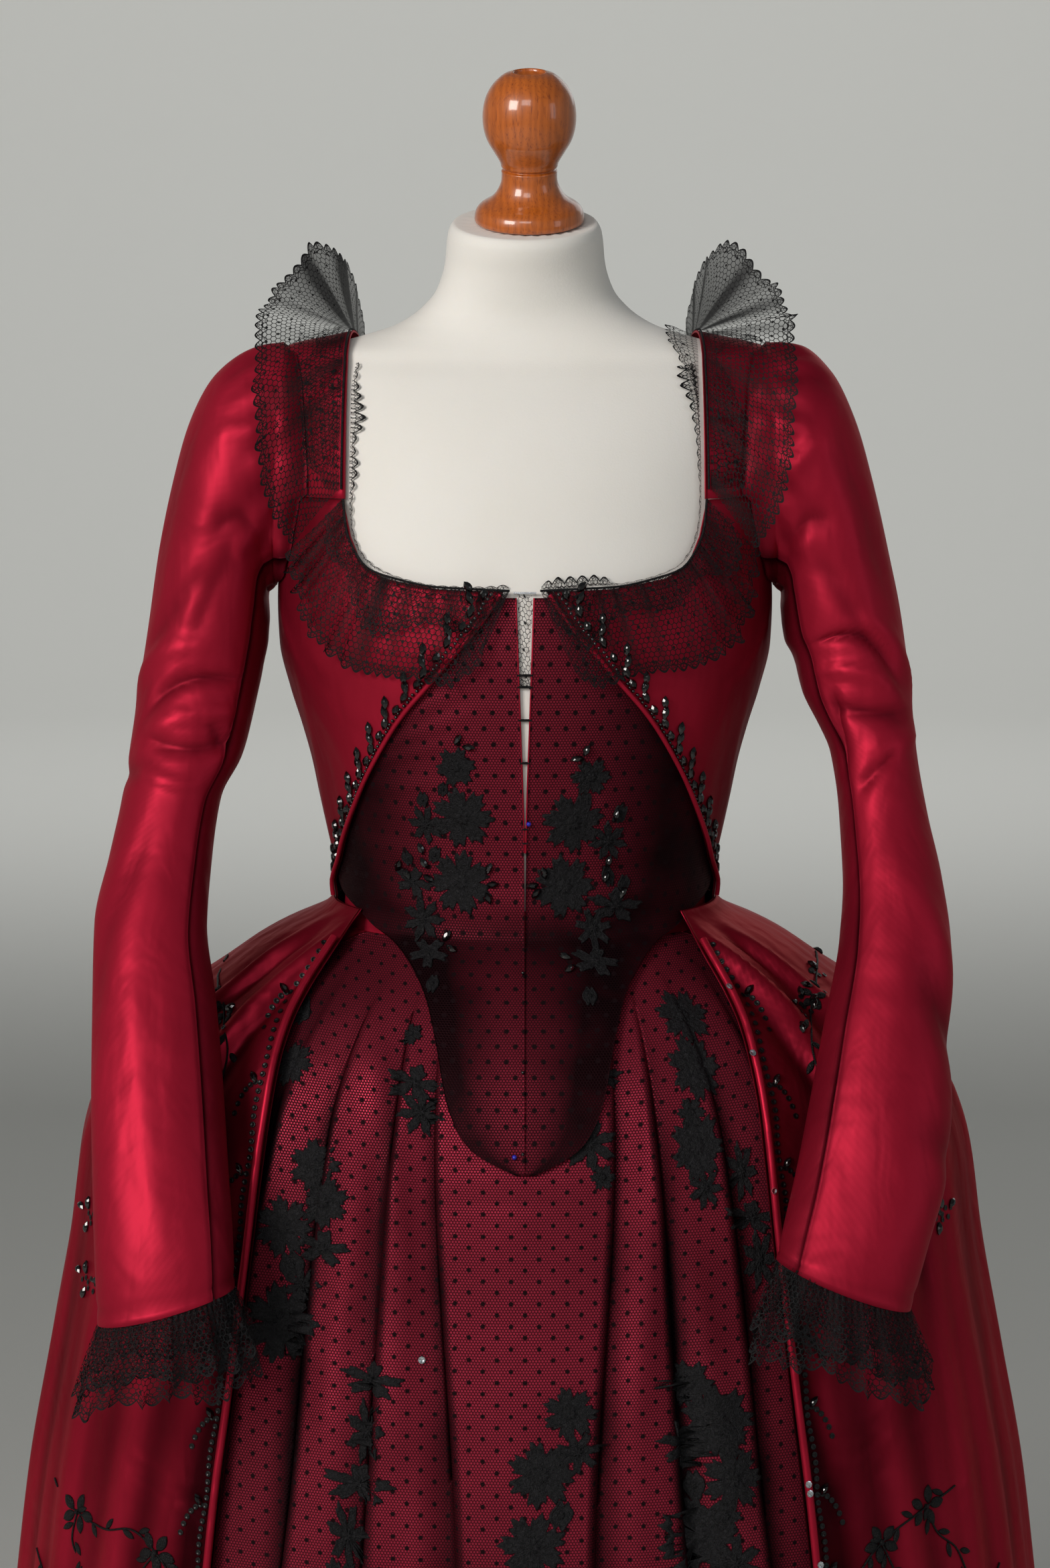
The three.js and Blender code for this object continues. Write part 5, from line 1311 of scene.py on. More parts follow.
def overskirt_lift(word, u, z):
    fall = 1037 - z
    lift = 1.6 * ease(fall, 2, 40) * ease(u, 0.02, 0.2)
    for row in OVERSKIRT_TUBES[word]:
        off = (u - row["u"] - row["lean"] * ease(fall, 0, 1000)) / row["width"]
        wander = 0.25 * np.sin(fall / 170 + 40 * row["u"])
        strength = 0.15 * ease(fall, 2, 40) + 0.85 * ease(fall, row["begin"], row["full"])
        lift = lift + row["depth"] * strength * bell(off - wander, 1) * ease(fall, 0, 30)
    across = u * 950
    hips = creased(across, fall, HIP_CREASES[word]) * ease(fall, 2, 34) * ease(u, 0.004, 0.03)
    return lift + np.clip(1.5 * hips, -6.0, 7.0)


rows = SKIRT_TOP - (SKIRT_TOP - 24) * np.linspace(0, 1, 128) ** 1.35
for side, word in SIDE_WORDS:
    u = columns(142) ** 1.06
    z = rows[:, None] + 0 * u
    end = np.pi - 0.2 / overskirt_surface.read["half"](rows[:, None])
    angle = mix(edge_angle(word, z), end, u)
    smooth_lift = 1.6 + 4.0 * ease(1037 - z, 90, 900)
    lift = mix(smooth_lift * ease(1037 - z, 0, 30), overskirt_lift(word, u, z), ease(1 - u, 0, 0.025))
    inner = overskirt_surface.lifted(angle, z, lift)
    # Painted shade: darker all over, and darker in the troughs between the tubes and the hip folds.
    shade = np.clip(0.46 + 0.20 * (smooth_lift - lift) * ease(1037 - z, 10, 200), 0.04, 0.92)
    cloth_panel(f"overskirt_half_{word}", f"overskirt_{word}", inner, SKIRT_CLOTH, skirt_satin, "gathered",
                ["petticoat_front_panel", "petticoat_back_panel"], side=side, level=True, shade=shade)

    line = []
    for height in np.concatenate([np.linspace(1018, 900, 34), np.linspace(896, 32, 120)]):
        height = np.array([height])
        turned = edge_angle(word, height) + (ROLL_RADIUS + 0.4) / overskirt_surface.read["half"](height)
        place = overskirt_surface.lifted(turned, height, SKIRT_CLOTH + ROLL_RADIUS + 0.1
                                         + 0.5 * np.sin(height / 23) * np.sin(height / 61))
        line.append(place[0] * [side, 1, 1])
    roll = swept_lines(f"overskirt_rolled_edge_{word}", [line], ROLL_RADIUS, skirt_satin, sides=16)
    hand_over(roll, [f"overskirt_roll_{word}"], "crimson_satin")
    print(roll.name, len(roll.data.polygons), "faces")

# %% [markdown]
# ## The ruffles
# A ruffle is a straight strip of lace gathered along one edge.  Gathered cloth can't lie flat at
# its free edge, so it waves in and out, and the folds lean over each other.  The sheet below runs
# from the sewn line to the free edge.  Its UV map keeps the strip's own straight measure, so the
# scallops stay equal however the ruffle bends.


# %% Ruffle builder
def ruffle(name, points, finish, nodes, flip=False, folded=0.0):
    """points: rows from the sewn line to the free edge; folded: how far the lace lies double, 0 to 1."""
    down = lengths_along(points, 0)
    depth = down[-1].mean()
    # The strip's length is read along its middle, folds and all, so that the net isn't squashed.
    along = lengths_along(points, 1)[len(points) * 2 // 3]
    uv = np.stack([np.broadcast_to(along, down.shape), depth * (1 - down / down[-1])], axis=-1)
    ids = np.arange(points.shape[0] * points.shape[1]).reshape(points.shape[:2])
    quads, places = strips(ids, uv)
    if flip:
        quads, places = quads[:, ::-1], places[:, ::-1]
    piece = piece_from(name, points.reshape(-1, 3), quads, places, finish, solid=False,
                       shade=np.clip(folded + np.zeros(down.shape), 0, 0.95))
    hand_over(piece, nodes, "black_lace")
    declare_cloth(piece, points)


def gathers(u, count, seed, height, sideways):
    """Uneven waves along a ruffle, and the sideways lean that makes the folds lap over."""
    phase = 2 * np.pi * count * (u + 0.16 / count * np.sin(2 * np.pi * 3.3 * u + seed)
                                 + 0.10 / count * np.sin(2 * np.pi * 7.1 * u + 2 * seed))
    size = 0.72 + 0.28 * np.sin(2 * np.pi * 2.3 * u + 3 * seed)
    folded = (0.5 + 0.5 * np.sin(phase + 0.6)) ** 5 * size
    return height * size * (1 - np.cos(phase)), sideways * size * np.sin(phase), folded


# %% [markdown]
# ## Neck ruffle
# The neck ruffle is gathered on the neckline.  In front it falls flat over the stomacher and the
# bodice, on the straps it turns over the sleeve heads, and behind the shoulders it is pushed up
# so that it stands by itself.

# %% Neck ruffle
NECK_RUFFLE = table("x z edge_x edge_z lift", [
    [10, 1266, 24, 1230, 4], [35, 1267, 48, 1206, 6], [60, 1268, 74, 1212, 6], [86, 1273, 100, 1212, 7],
    [104, 1279, 124, 1221, 8], [113, 1290, 141, 1240, 9], [119, 1305, 146, 1262, 10], [121, 1325, 150, 1286, 13]])
SHOULDER_RUFFLE = table("edge_x edge_y edge_z", [
    [158, -70, 1290], [173, -80, 1316], [181, -80, 1350], [184, -68, 1392], [185, -36, 1440], [172, 6, 1468],
    [142, 34, 1497], [124, 66, 1478], [116, 96, 1440], [114, 110, 1398]])


read = by_share(NECK_RUFFLE)
for side, word in SIDE_WORDS:
    u = columns(280)
    v = rows_of(18)
    wave, lean, folded = gathers(u, 11, 0.7 + 0.5 * side, 2.8, 3.4)
    x = mix(read["x"](u), read["edge_x"](u), v) + lean * v
    z = mix(read["z"](u), read["edge_z"](u), v) - (1.5 + 2.0 * np.sin(9 * u + side)) * v
    # Along the bodice's front edge the sewn-on stones hold the lace down.
    held_down = 0.30 + 0.70 * ease(u, 0.42, 0.62)
    lift = (SATIN + 3.4 * (1 - ease(u, 0.5, 0.8)) * ease(v, 0, 0.2) + 1.0 + read["lift"](u) * v * 0.75 * held_down
            + wave * v**0.8 * held_down + 0.5 * np.cos(2 * np.pi * 38 * u) * (1 - v) ** 2)
    points = on_bodice(form_surface.angle_at(x, z), z, lift) * [side, 1, 1]
    ruffle(f"neck_ruffle_front_lace_{word}", points, neck_lace, [f"neck_ruffle_front_{word}"],
           flip=side > 0,
           folded=0.7 * folded * (1 - 0.5 * v) + 0.15 * (1 - v) ** 3)
    wave, lean, folded = gathers(u, 7, 3.1 + side, 1.6, 3.0)
    reach = 0.40 + 0.16 * np.sin(7.3 * u + side) + 0.10 * np.sin(17 * u)
    short = rows_of(14) * reach
    x = mix(read["x"](u), read["edge_x"](u), short) + lean * short
    z = mix(read["z"](u), read["edge_z"](u), short)
    lift = (SATIN + 1.6 + 2.8 * (1 - ease(u, 0.5, 0.8)) * ease(short, 0, 0.2)
            + ((read["lift"](u) + 5) * short + wave * short) * held_down + 1.6 * short)
    points = on_bodice(form_surface.angle_at(x, z), z, lift) * [side, 1, 1]
    ruffle(f"neck_ruffle_front_upper_lace_{word}", points, upper_lace, [],
           flip=side > 0, folded=0.3 * folded)

    edge = by_share(SHOULDER_RUFFLE)
    wave, lean, folded = gathers(u, 10, 1.9 + 0.6 * side, 3.6, 5.0)
    sewn = on_strap(mix(124, 115, ease(u, 0.3, 1)), mix(-0.97, 0.93, u), BODICE_LIFT + SATIN + 0.9 + 0 * u)
    free = np.stack([edge["edge_x"](u), edge["edge_y"](u), edge["edge_z"](u)], axis=-1)
    away = unit(np.stack([0.35 + 0 * u, -0.6 + 1.1 * u, 0.75 + 0 * u], axis=-1))
    slide = unit(np.gradient(free, axis=1))
    points = (sewn + (free - sewn) * v[..., None] + away * (wave * v + 6 * v * (1 - v))[..., None]
              + slide * (lean * v)[..., None]) * [side, 1, 1]
    standing = ease(u, 0.40, 0.60)
    ruffle(f"neck_ruffle_shoulder_lace_{word}", points, neck_lace, [f"neck_ruffle_shoulder_{word}"],
           flip=side > 0,
           folded=0.75 * folded * (1 - 0.5 * v) + standing * (0.62 + 0.22 * (1 - v)))
    # A shorter layer lies on the strap under the ruffle and over the top of the sleeve.
    wave, lean, folded = gathers(u, 6, 0.9 + side, 1.6, 5.0)
    short = rows_of(14)
    s = mix(-0.97, 0.35, u)
    outward = mix(124, 148 + 17 * np.sin(8.5 * u + 1.2 * side) + 4 * np.sin(23 * u), short)
    points = on_strap(outward, s + 0.004 * lean * short, BODICE_LIFT + SATIN + 1.2 + (2.2 + wave) * short**0.7)
    ruffle(f"neck_ruffle_shoulder_under_lace_{word}", points * [side, 1, 1], upper_lace, [],
           flip=side > 0, folded=0.35 * folded)

u = columns(420)
v = rows_of(16)
wave, lean, folded = gathers(u, 16, 0.4, 2.4, 2.2)
angle = mix(np.pi - np.radians(36), np.pi + np.radians(36), u) + lean * v / 150
points = on_bodice(angle, 1400 - 50 * v + 0 * u, SATIN + 0.5 + 5 * v + wave * v)
ruffle("neck_ruffle_back_lace", points, neck_lace, ["neck_ruffle_back"],
       folded=0.7 * folded * (1 - 0.5 * v))

# %% [markdown]
# ## Cuff ruffles
# Two layers of wider lace hang from each sleeve's hem, the upper one shorter.  They flare like a
# bell, and the outer side hangs longer than the inner one.

# %% Cuff ruffles
CUFF = {"right": dict(outer_x=303, outer_z=736, inner_x=170, inner_z=763, y=-246, depth=72),
        "left": dict(outer_x=273, outer_z=747, inner_x=144, inner_z=779, y=-248, depth=72)}
for side, word in SIDE_WORDS:
    last = SLEEVE[word][-1]
    for layer, reach, out, nodes in (("under", 1.0, 0.0, [f"cuff_ruffle_{word}"]), ("upper", 0.74, 3.0, [])):
        u = columns(430)
        v = rows_of(16)
        wave, lean, folded = gathers(u, 19 if layer == "under" else 15, 2.1 + side + out, 3.2, 0.06)
        ring = {key: mix(last[key], CUFF[word][key], v * reach) + 0 * u for key in last}
        drop = 5 * np.sin(2 * np.pi * 3 * u + side) + 3 * np.sin(2 * np.pi * 8 * u + out)
        turn = 2 * np.pi * u + lean * v
        ends = 1 - ease(u, 0.985, 1)
        lift = -3.4 + out * v**0.5 + wave * v**0.7 * ends + 0.6 * np.cos(2 * np.pi * 70 * u) * (1 - v) ** 3 - 2.6 * v
        points = on_ring(ring, turn, lift)
        points[..., 2] += 3 * (1 - v) - drop * v * ends
        points[:, -1] = points[:, 0]
        points = points * [side, 1, 1]
        ruffle(f"cuff_lace_{layer}_{word}", points, cuff_lace, nodes,
               flip=side < 0, folded=0.55 * folded * (1 - 0.5 * v) + 0.25 * (1 - v) ** 3)

# %% [markdown]
# ## Piping and braid
# A red piping is caught in the bodice's front edge where it lies over the stomacher, and a narrow
# black braid finishes the neckline, over the ruffle's stitching.  Both are round sections run
# along a line that lies on the cloth.  Inside the gap at centre front the stomacher's turned edge
# shows as a thin bright cord.

# %% Piping, neck braid and turned edges
neck = by_share(NECK_RUFFLE)
for side, word in SIDE_WORDS:
    mirror = np.array([side, 1, 1])
    z = np.arange(1041, 1264, 6.0)
    line = on_bodice(front_edge_angle(z), z, SATIN + 1.9 + 0 * z) * mirror
    piping = swept_lines(f"bodice_front_piping_{word}", [line], 1.6, crimson_satin, step=4.0)
    hand_over(piping, [f"bodice_piping_{word}"], "crimson_satin")

    # The braid follows the sewn line: in front over the bodice, then up over the strap.
    u, s = np.linspace(0, 1, 60), np.linspace(-0.97, 0.93, 70)
    x, z = neck["x"](u), neck["z"](u)
    front = on_bodice(form_surface.angle_at(x, z), z, SATIN + 1.0 + 0 * u)
    over = on_strap(mix(122.5, 113.5, ease(s, -0.4, 0.9)), s, BODICE_LIFT + SATIN + 1.0 + 0 * s)
    braid = swept_lines(f"neck_braid_{word}", [front * mirror, over * mirror], 0.8, cord_black, sides=8)
    hand_over(braid, [], "black_lace")

    z = np.linspace(1262, 1086, 40)
    edge = form_surface.lifted(form_surface.angle_at(stomacher_inner(z) - 0.1, z), z, 1.9 + 0 * z) * mirror
    turned_edge = swept_lines(f"stomacher_turned_edge_{word}", [edge], 0.75, crimson_satin, sides=8, step=4.0)
    hand_over(turned_edge, [], "crimson_satin")

# %% [markdown]
# ## Lace inside the neckline
# The lace's own heading stands a little inside the neckline, so a few scallops lie against the
# form.  On the wearer's left, near the neck, a fold of it has slipped further in.

# %% Inner lace and the strip in the front opening
INNER_LACE = {
    "right": table("x z wide", [
        [11, 1268, 3], [30, 1268, 1.5], [60, 1269, 1], [86, 1274, 1], [104, 1281, 2], [113, 1291, 2],
        [118, 1305, 2], [119.5, 1325, 3], [119.5, 1348, 7], [119, 1362, 4], [119, 1378, 11], [119, 1394, 8],
        [118, 1406, 4], [116, 1416, 3]]),
    "left": table("x z wide", [
        [11, 1268, 3], [22, 1268, 8], [50, 1270, 7], [62, 1270, 1], [86, 1274, 1], [104, 1281, 1],
        [113, 1291, 2], [118, 1305, 2], [120, 1325, 2], [120, 1347, 3], [119.5, 1374, 5], [119, 1392, 9],
        [118, 1408, 15], [116, 1416, 13]])}
for side, word in SIDE_WORDS:
    read = by_share(INNER_LACE[word])
    u, v = columns(180), rows_of(6)
    x, z = read["x"](u), read["z"](u)
    along = unit(np.stack([np.gradient(x[0]), np.gradient(z[0])], axis=-1))
    reach = read["wide"](u) * v
    x, z = x - along[:, 1] * reach, z + along[:, 0] * reach
    points = form_surface.lifted(form_surface.angle_at(np.abs(x), z), z, 1.1 + 1.2 * v + 0.5 * v * np.sin(70 * u))
    ruffle(f"inner_neck_lace_{word}", points * [side, 1, 1], upper_lace, [], flip=side < 0)

u, v = columns(90), rows_of(10)
s = mix(-0.66, 0.10, u)
reach = 21 * ease(u, 0.0, 0.62) * (1 - 0.25 * ease(u, 0.8, 1.0)) + 2
points = on_strap(119 - reach * v, s, 1.3 + 1.5 * v + 0.7 * v * np.sin(34 * u))
ruffle("inner_lace_fold_left", points, upper_lace, [],
       folded=0.22 * (1 - v) + 0 * u)

u, v = columns(14), rows_of(40)
x = mix(-5.5, 4.5, u) * (1 - 0.2 * v) + 0.8 * np.sin(9 * v)
z = 1264 - 62 * v + 1.5 * np.sin(6 * u)
points = form_surface.lifted(form_surface.either_side(x, z), z, 2.6 + 0.9 * np.sin(8 * u + 5 * v))
ruffle("front_opening_lace", points, upper_lace, [])

# %% [markdown]
# ## Applied flowers
# The flowers and leaves were cut from a corded guipure lace and sewn on singly, some of them in
# chains down the petticoat's folds.  Each is a disc in polar coordinates, whose outline is a
# formula with lobes.  Every point of it is found on the panel underneath by walking the right
# number of millimetres across and up, so that a flower bends over a pleat as cloth does.  A
# raised cord follows its outline and a boss marks its middle.

# %% Applied flowers
MOTIF_RINGS = [0.07, 0.15, 0.23, 0.31, 0.40, 0.50, 0.60, 0.70, 0.79, 0.86, 0.93, 1.0]
MOTIF_SPOKES = 66
GROWN = 1.2
OUTLINES = {
    # lobes: how many; deep: how far the outline draws in between them; sharp: pointed or round
    "bloom": dict(lobes=7, deep=0.44, sharp=0.55, ragged=0.12),
    "small": dict(lobes=6, deep=0.46, sharp=0.6, ragged=0.11),
    "star": dict(lobes=7, deep=0.62, sharp=1.1, ragged=0.10),
    "sprig": dict(lobes=5, deep=0.70, sharp=0.9, ragged=0.11),
    "leaf": dict(lobes=2, deep=0.45, sharp=2.0, ragged=0.09)}


def motif_points(panel, row, shape):
    spoke = np.arange(MOTIF_SPOKES) * 2 * np.pi / MOTIF_SPOKES
    lobe = np.abs(np.cos(shape["lobes"] * spoke / 2)) ** shape["sharp"]
    reach = 1 - shape["deep"] * (1 - lobe) + shape["ragged"] * np.cos(shape["lobes"] * 3 * spoke + row["x"])
    ring = np.array(MOTIF_RINGS)[:, None]
    # The blooms in a chain overlap a little, as they do where they were sewn on one by one.
    wide, tall = row["wide"] * GROWN / 2, row["tall"] * GROWN / 2
    across, up = ring * reach * np.cos(spoke) * wide, ring * reach * np.sin(spoke) * tall
    turn = np.radians(row["turn"])
    across, up = across * np.cos(turn) - up * np.sin(turn), across * np.sin(turn) + up * np.cos(turn)
    height = (1.15 - 0.5 * ring**2 + 0.55 * bell(ring - 0.88, 0.07)
              + 0.7 * bell(ring - 0.10, 0.09) - 0.5 * bell(ring - 0.30, 0.06)
              - 0.55 * (1 - lobe) ** 1.5 * ease(ring, 0.25, 0.6) * (1 - ease(ring, 0.8, 0.9))
              + 0.22 * np.cos(26 * ring + 2 * lobe))
    height[-1] = 0.5
    place = panel.find(row["x"], row["z"])
    across = np.concatenate([[0.0], across.ravel(), across[-1], [0.0]])
    up = np.concatenate([[0.0], up.ravel(), up[-1], [0.0]])
    low = np.full(MOTIF_SPOKES + 1, 0.08)
    height = np.concatenate([[1.4], height.ravel(), low])
    return panel.lay(*place, across, up, height)


def motif_faces(start):
    """A fan at the middle, quads out to the rim, the rim itself and a flat fan below."""
    rings, spokes = len(MOTIF_RINGS), MOTIF_SPOKES
    after = [(j + 1) % spokes for j in range(spokes)]
    at = lambda ring, j: start + 1 + ring * spokes + j
    faces = [(start, at(0, j), at(0, k)) for j, k in enumerate(after)]
    faces += [(at(i, j), at(i + 1, j), at(i + 1, k), at(i, k))
              for i in range(rings) for j, k in enumerate(after)]
    bottom = start + 1 + (rings + 1) * spokes
    return faces + [(bottom, at(rings, k), at(rings, j)) for j, k in enumerate(after)]


FLOWERS = {
    "stomacher_right": table("kind x z wide tall turn", [
        ["small", -47, 1146, 23, 24, 10], ["bloom", -43, 1110, 36, 35, 0], ["star", -68, 1104, 21, 24, 20],
        ["leaf", -70, 1122, 7, 15, -8], ["bloom", -44, 1064, 36, 37, 30], ["sprig", -77, 1062, 17, 26, 70],
        ["star", -70, 1037, 26, 26, 0], ["leaf", -81, 1079, 7, 14, 20], ["sprig", -66, 1016, 21, 24, 60],
        ["leaf", -63, 999, 7, 20, 0], ["leaf", -56, 1130, 6, 14, -20], ["leaf", -62, 1083, 7, 17, -24]]),
    "stomacher_left": table("kind x z wide tall turn", [
        ["small", 45, 1139, 23, 22, 0], ["bloom", 33, 1107, 35, 35, 15], ["star", 57, 1093, 22, 25, 40],
        ["leaf", 65, 1112, 8, 18, -20], ["bloom", 27, 1062, 34, 36, 0], ["sprig", 62, 1047, 20, 34, 80],
        ["star", 47, 1032, 22, 25, 10], ["sprig", 48, 1012, 21, 28, 70], ["leaf", 44, 993, 8, 20, -4],
        ["leaf", 57, 1068, 7, 20, 14], ["leaf", 68, 1062, 7, 16, -12], ["leaf", 42, 1124, 6, 12, 10]]),
    "petticoat": table("kind x z wide tall turn", [
        ["leaf", -155, 976, 14, 32, 20], ["bloom", -158, 945, 26, 26, 0], ["small", -77, 969, 12, 14, 0],
        ["sprig", -75, 940, 22, 34, 70], ["star", -70, 922, 26, 28, 30], ["bloom", -141, 884, 30, 30, 0],
        ["bloom", -136, 862, 30, 28, 20], ["bloom", -163, 843, 33, 34, 0], ["leaf", -157, 818, 14, 26, 20],
        ["sprig", -136, 832, 20, 32, 80], ["bloom", -164, 780, 44, 44, 0], ["star", -150, 806, 24, 22, 0],
        ["sprig", -102, 748, 20, 38, 84], ["star", -106, 716, 22, 36, 0], ["sprig", -111, 682, 22, 42, 80],
        ["star", -118, 648, 22, 40, 10], ["bloom", -125, 612, 28, 36, 0],
        ["leaf", 51, 966, 10, 24, 0], ["sprig", 51, 946, 16, 26, 90], ["star", 43, 904, 32, 30, 20],
        ["small", 52, 883, 14, 15, 0], ["bloom", 108, 977, 29, 36, 0], ["bloom", 115, 948, 29, 40, 10],
        ["small", 112, 920, 16, 18, 0], ["bloom", 116, 899, 29, 40, 0], ["star", 121, 872, 20, 24, 0],
        ["star", 146, 880, 18, 34, 0], ["sprig", 152, 850, 18, 34, 80], ["star", 158, 822, 20, 34, 0],
        ["bloom", 30, 733, 30, 28, 0], ["star", 35, 708, 26, 24, 10], ["bloom", 11, 694, 37, 36, 0],
        ["leaf", 24, 668, 12, 26, -20], ["bloom", 5, 648, 37, 36, 20], ["star", 12, 620, 30, 30, 0],
        ["small", 110, 746, 27, 26, 0], ["bloom", 129, 723, 41, 38, 0], ["star", 105, 704, 28, 28, 0],
        ["bloom", 139, 685, 33, 36, 0], ["leaf", 113, 680, 12, 26, 10], ["small", 134, 661, 17, 18, 0],
        ["bloom", 116, 648, 43, 42, 0], ["star", 140, 630, 30, 34, 30], ["bloom", 122, 604, 36, 36, 0],
        ["star", 22, 590, 26, 30, 0], ["bloom", 148, 592, 30, 32, 0]])}
for place, node in (("stomacher_right",) * 2, ("stomacher_left",) * 2, ("petticoat", "petticoat_front")):
    points, faces = [], []
    for row in FLOWERS[place]:
        faces += motif_faces(sum(len(group) for group in points))
        points.append(motif_points(panels[node], row, OUTLINES[row["kind"]]))
    piece = plain_mesh(f"applied_flowers_{place}", np.concatenate(points), faces, cord_black)
    hand_over(piece, [], "black_lace")
    print(piece.name, len(FLOWERS[place]), "motifs,", len(faces), "faces")

# %% [markdown]
# ## Stones, beads and sequins
# A navette is a pointed oval stone with a flat table and slanting facets.  A bead is a small
# round-cut drop, and a sequin is a shallow cup.  Each is one small shape, modelled one unit long,
# wide and high, that the scatter tree copies to all its places.

# %% The shapes that are scattered
def stacked_shape(name, outline, levels, smooth=False):
    """Copies of one outline, each at its height and scale, joined up; flat lids close both ends."""
    count = len(outline)
    points = [(x * scale, y * scale, z) for z, scale in levels for x, y in outline]
    after = [(j + 1) % count for j in range(count)]
    faces = [(i * count + j, i * count + k, (i + 1) * count + k, (i + 1) * count + j)
             for i in range(len(levels) - 1) for j, k in enumerate(after)]
    top = (len(levels) - 1) * count
    faces += [tuple(reversed(range(count))), tuple(range(top, top + count))]
    return plain_mesh(name, np.array(points) / MM, faces, None, smooth)


def lens_outline(half_count):
    x = np.linspace(0.5, -0.5, half_count + 1)
    upper = [(a, 0.5 * (1 - (2 * a) ** 2) ** 0.85) for a in x]
    return upper[:-1] + [(-a, -b) for a, b in upper[:-1]]


def round_outline(count):
    turn = np.arange(count) * 2 * np.pi / count
    return list(zip(0.5 * np.cos(turn), 0.5 * np.sin(turn)))


navette_shape = stacked_shape("navette", lens_outline(5), [(0.0, 0.9), (0.35, 1.0), (0.8, 0.66), (1.0, 0.42)])
bead_shape = stacked_shape("bead", round_outline(8), [(0.0, 0.6), (0.3, 0.96), (0.6, 0.96), (0.86, 0.7), (1.0, 0.3)],
                           smooth=True)
sequin_shape = stacked_shape("sequin", round_outline(8), [(0.0, 0.5), (0.55, 1.0), (0.6, 0.7), (0.3, 0.25)])
petal_shape = stacked_shape("petal", lens_outline(7),
                            [(0.0, 0.98), (0.25, 1.0), (0.62, 0.86), (0.88, 0.6), (1.0, 0.28)], smooth=True)


def spot_on(panel, x, z, turn, size, lift=0.0, front=True):
    origin, right, up, normal = panel.frame_at(*panel.find(x, z, front))
    along = right * np.cos(np.radians(turn)) + up * np.sin(np.radians(turn))
    return origin + normal * lift, along, normal, size


NAVETTE, BEAD, SEQUIN = (9.4, 4.9, 3.0), (2.6, 2.6, 2.0), (4.2, 4.2, 0.9)

# %% [markdown]
# ## Stones and beads on the bodice
# Stones stand in small sprigs along the bodice's front edges: one along the line and a pair that
# branches up and out, over a chain of small beads next to the piping.  The same stones tip the
# applied flowers on the stomacher, set over the cord so that they catch the light.

# %% Bodice sprigs and stomacher stones
SPRIG_STEP = 19
STOMACHER_STONES = {
    "right": table("x z turn", [
        [-45.5, 1166, 62], [-38, 1161, -8], [-87, 1073, 62], [-81, 1068, 120], [-71, 1087, 112], [-69, 1077, 118],
        [-66, 1066, -28], [-24.5, 1075, 68], [-22, 1063.5, 5], [-25, 1054, -66], [-53.5, 1026.5, 62],
        [-50.5, 1018.5, -32]]),
    "left": table("x z turn", [
        [35, 1153, 12], [41.5, 1158.5, 66], [57, 1079, 72], [55, 1067.5, 66], [62, 1112, 80], [5, 1063, 12],
        [7.5, 1057.5, 48], [27, 1015, -28], [30.5, 1008, 42], [67, 1056, 60], [13, 1072, 104]])}
for side, word in SIDE_WORDS:
    mirror = np.array([side, 1, 1])
    stones, beads = [], []
    for k, height in enumerate(np.arange(1054, 1262, 2.7)):
        height = np.array([height])
        out_mm = 4.4 + 0.5 * np.sin(1.7 * k)
        angle = front_edge_angle(height) + out_mm / 150
        lift = SATIN + 0.1 + 10.0 * ease(height, 1206, 1226)
        beads.append((on_bodice(angle, height, lift)[0] * mirror, [side, 0, 1.0],
                      [side * np.sin(angle[0]), -np.cos(angle[0]), 0], BEAD))
    for k, height in enumerate(np.arange(1062, 1258, SPRIG_STEP)):
        lean = 4 * np.sin(2.1 * k + side)
        for out_mm, rise, turn, long in ((9.0, 0, 12, 9.4), (14.5, 7.5, -26, 9.6), (19.5, 14.5, -12, 8.4),
                                         (7.6, 9.6, 22, 7.6)):
            z = np.array([height + rise])
            angle = front_edge_angle(z) + out_mm / 150
            steep = np.degrees(np.arctan2(*(np.diff(on_bodice(front_edge_angle(z + [0, 8]), z + [0, 8], 0 * z),
                                                    axis=0)[0][[2, 0]])))
            over_lace = 11.5 * ease(z, 1202, 1222)
            place = on_bodice(angle, z, SATIN + 0.15 + over_lace)[0]
            normal = np.array([np.sin(angle[0]), -np.cos(angle[0]), 0.0])
            right = np.array([np.cos(angle[0]), np.sin(angle[0]), 0.0])
            way = np.radians(steep + turn + lean - 30)
            along = right * np.cos(way) + np.array([0, 0, 1.0]) * np.sin(way)
            stones.append((place * mirror, along * mirror, normal * mirror, (long * 1.12, 5.6, 3.2)))
    for row in STOMACHER_STONES[word]:
        stones.append(spot_on(panels[f"stomacher_{word}"], row["x"], row["z"], row["turn"], NAVETTE, 1.1))
    hand_over(scattered(f"jet_stones_bodice_{word}", navette_shape, stones, jet), [], "jet_stones")
    hand_over(scattered(f"bead_chain_bodice_{word}", bead_shape, beads, jet, smooth=True), [], "jet_stones")

# %% [markdown]
# ## Sequins along the overskirt
# A chain of black sequins follows each rolled edge.  Every five centimetres or so a side sprig
# runs out from it and down over the hip, a stone at its foot, and here and there a silver sequin
# stands in the chain.  Where the skirt hangs behind a sleeve there are a few clusters of beads.

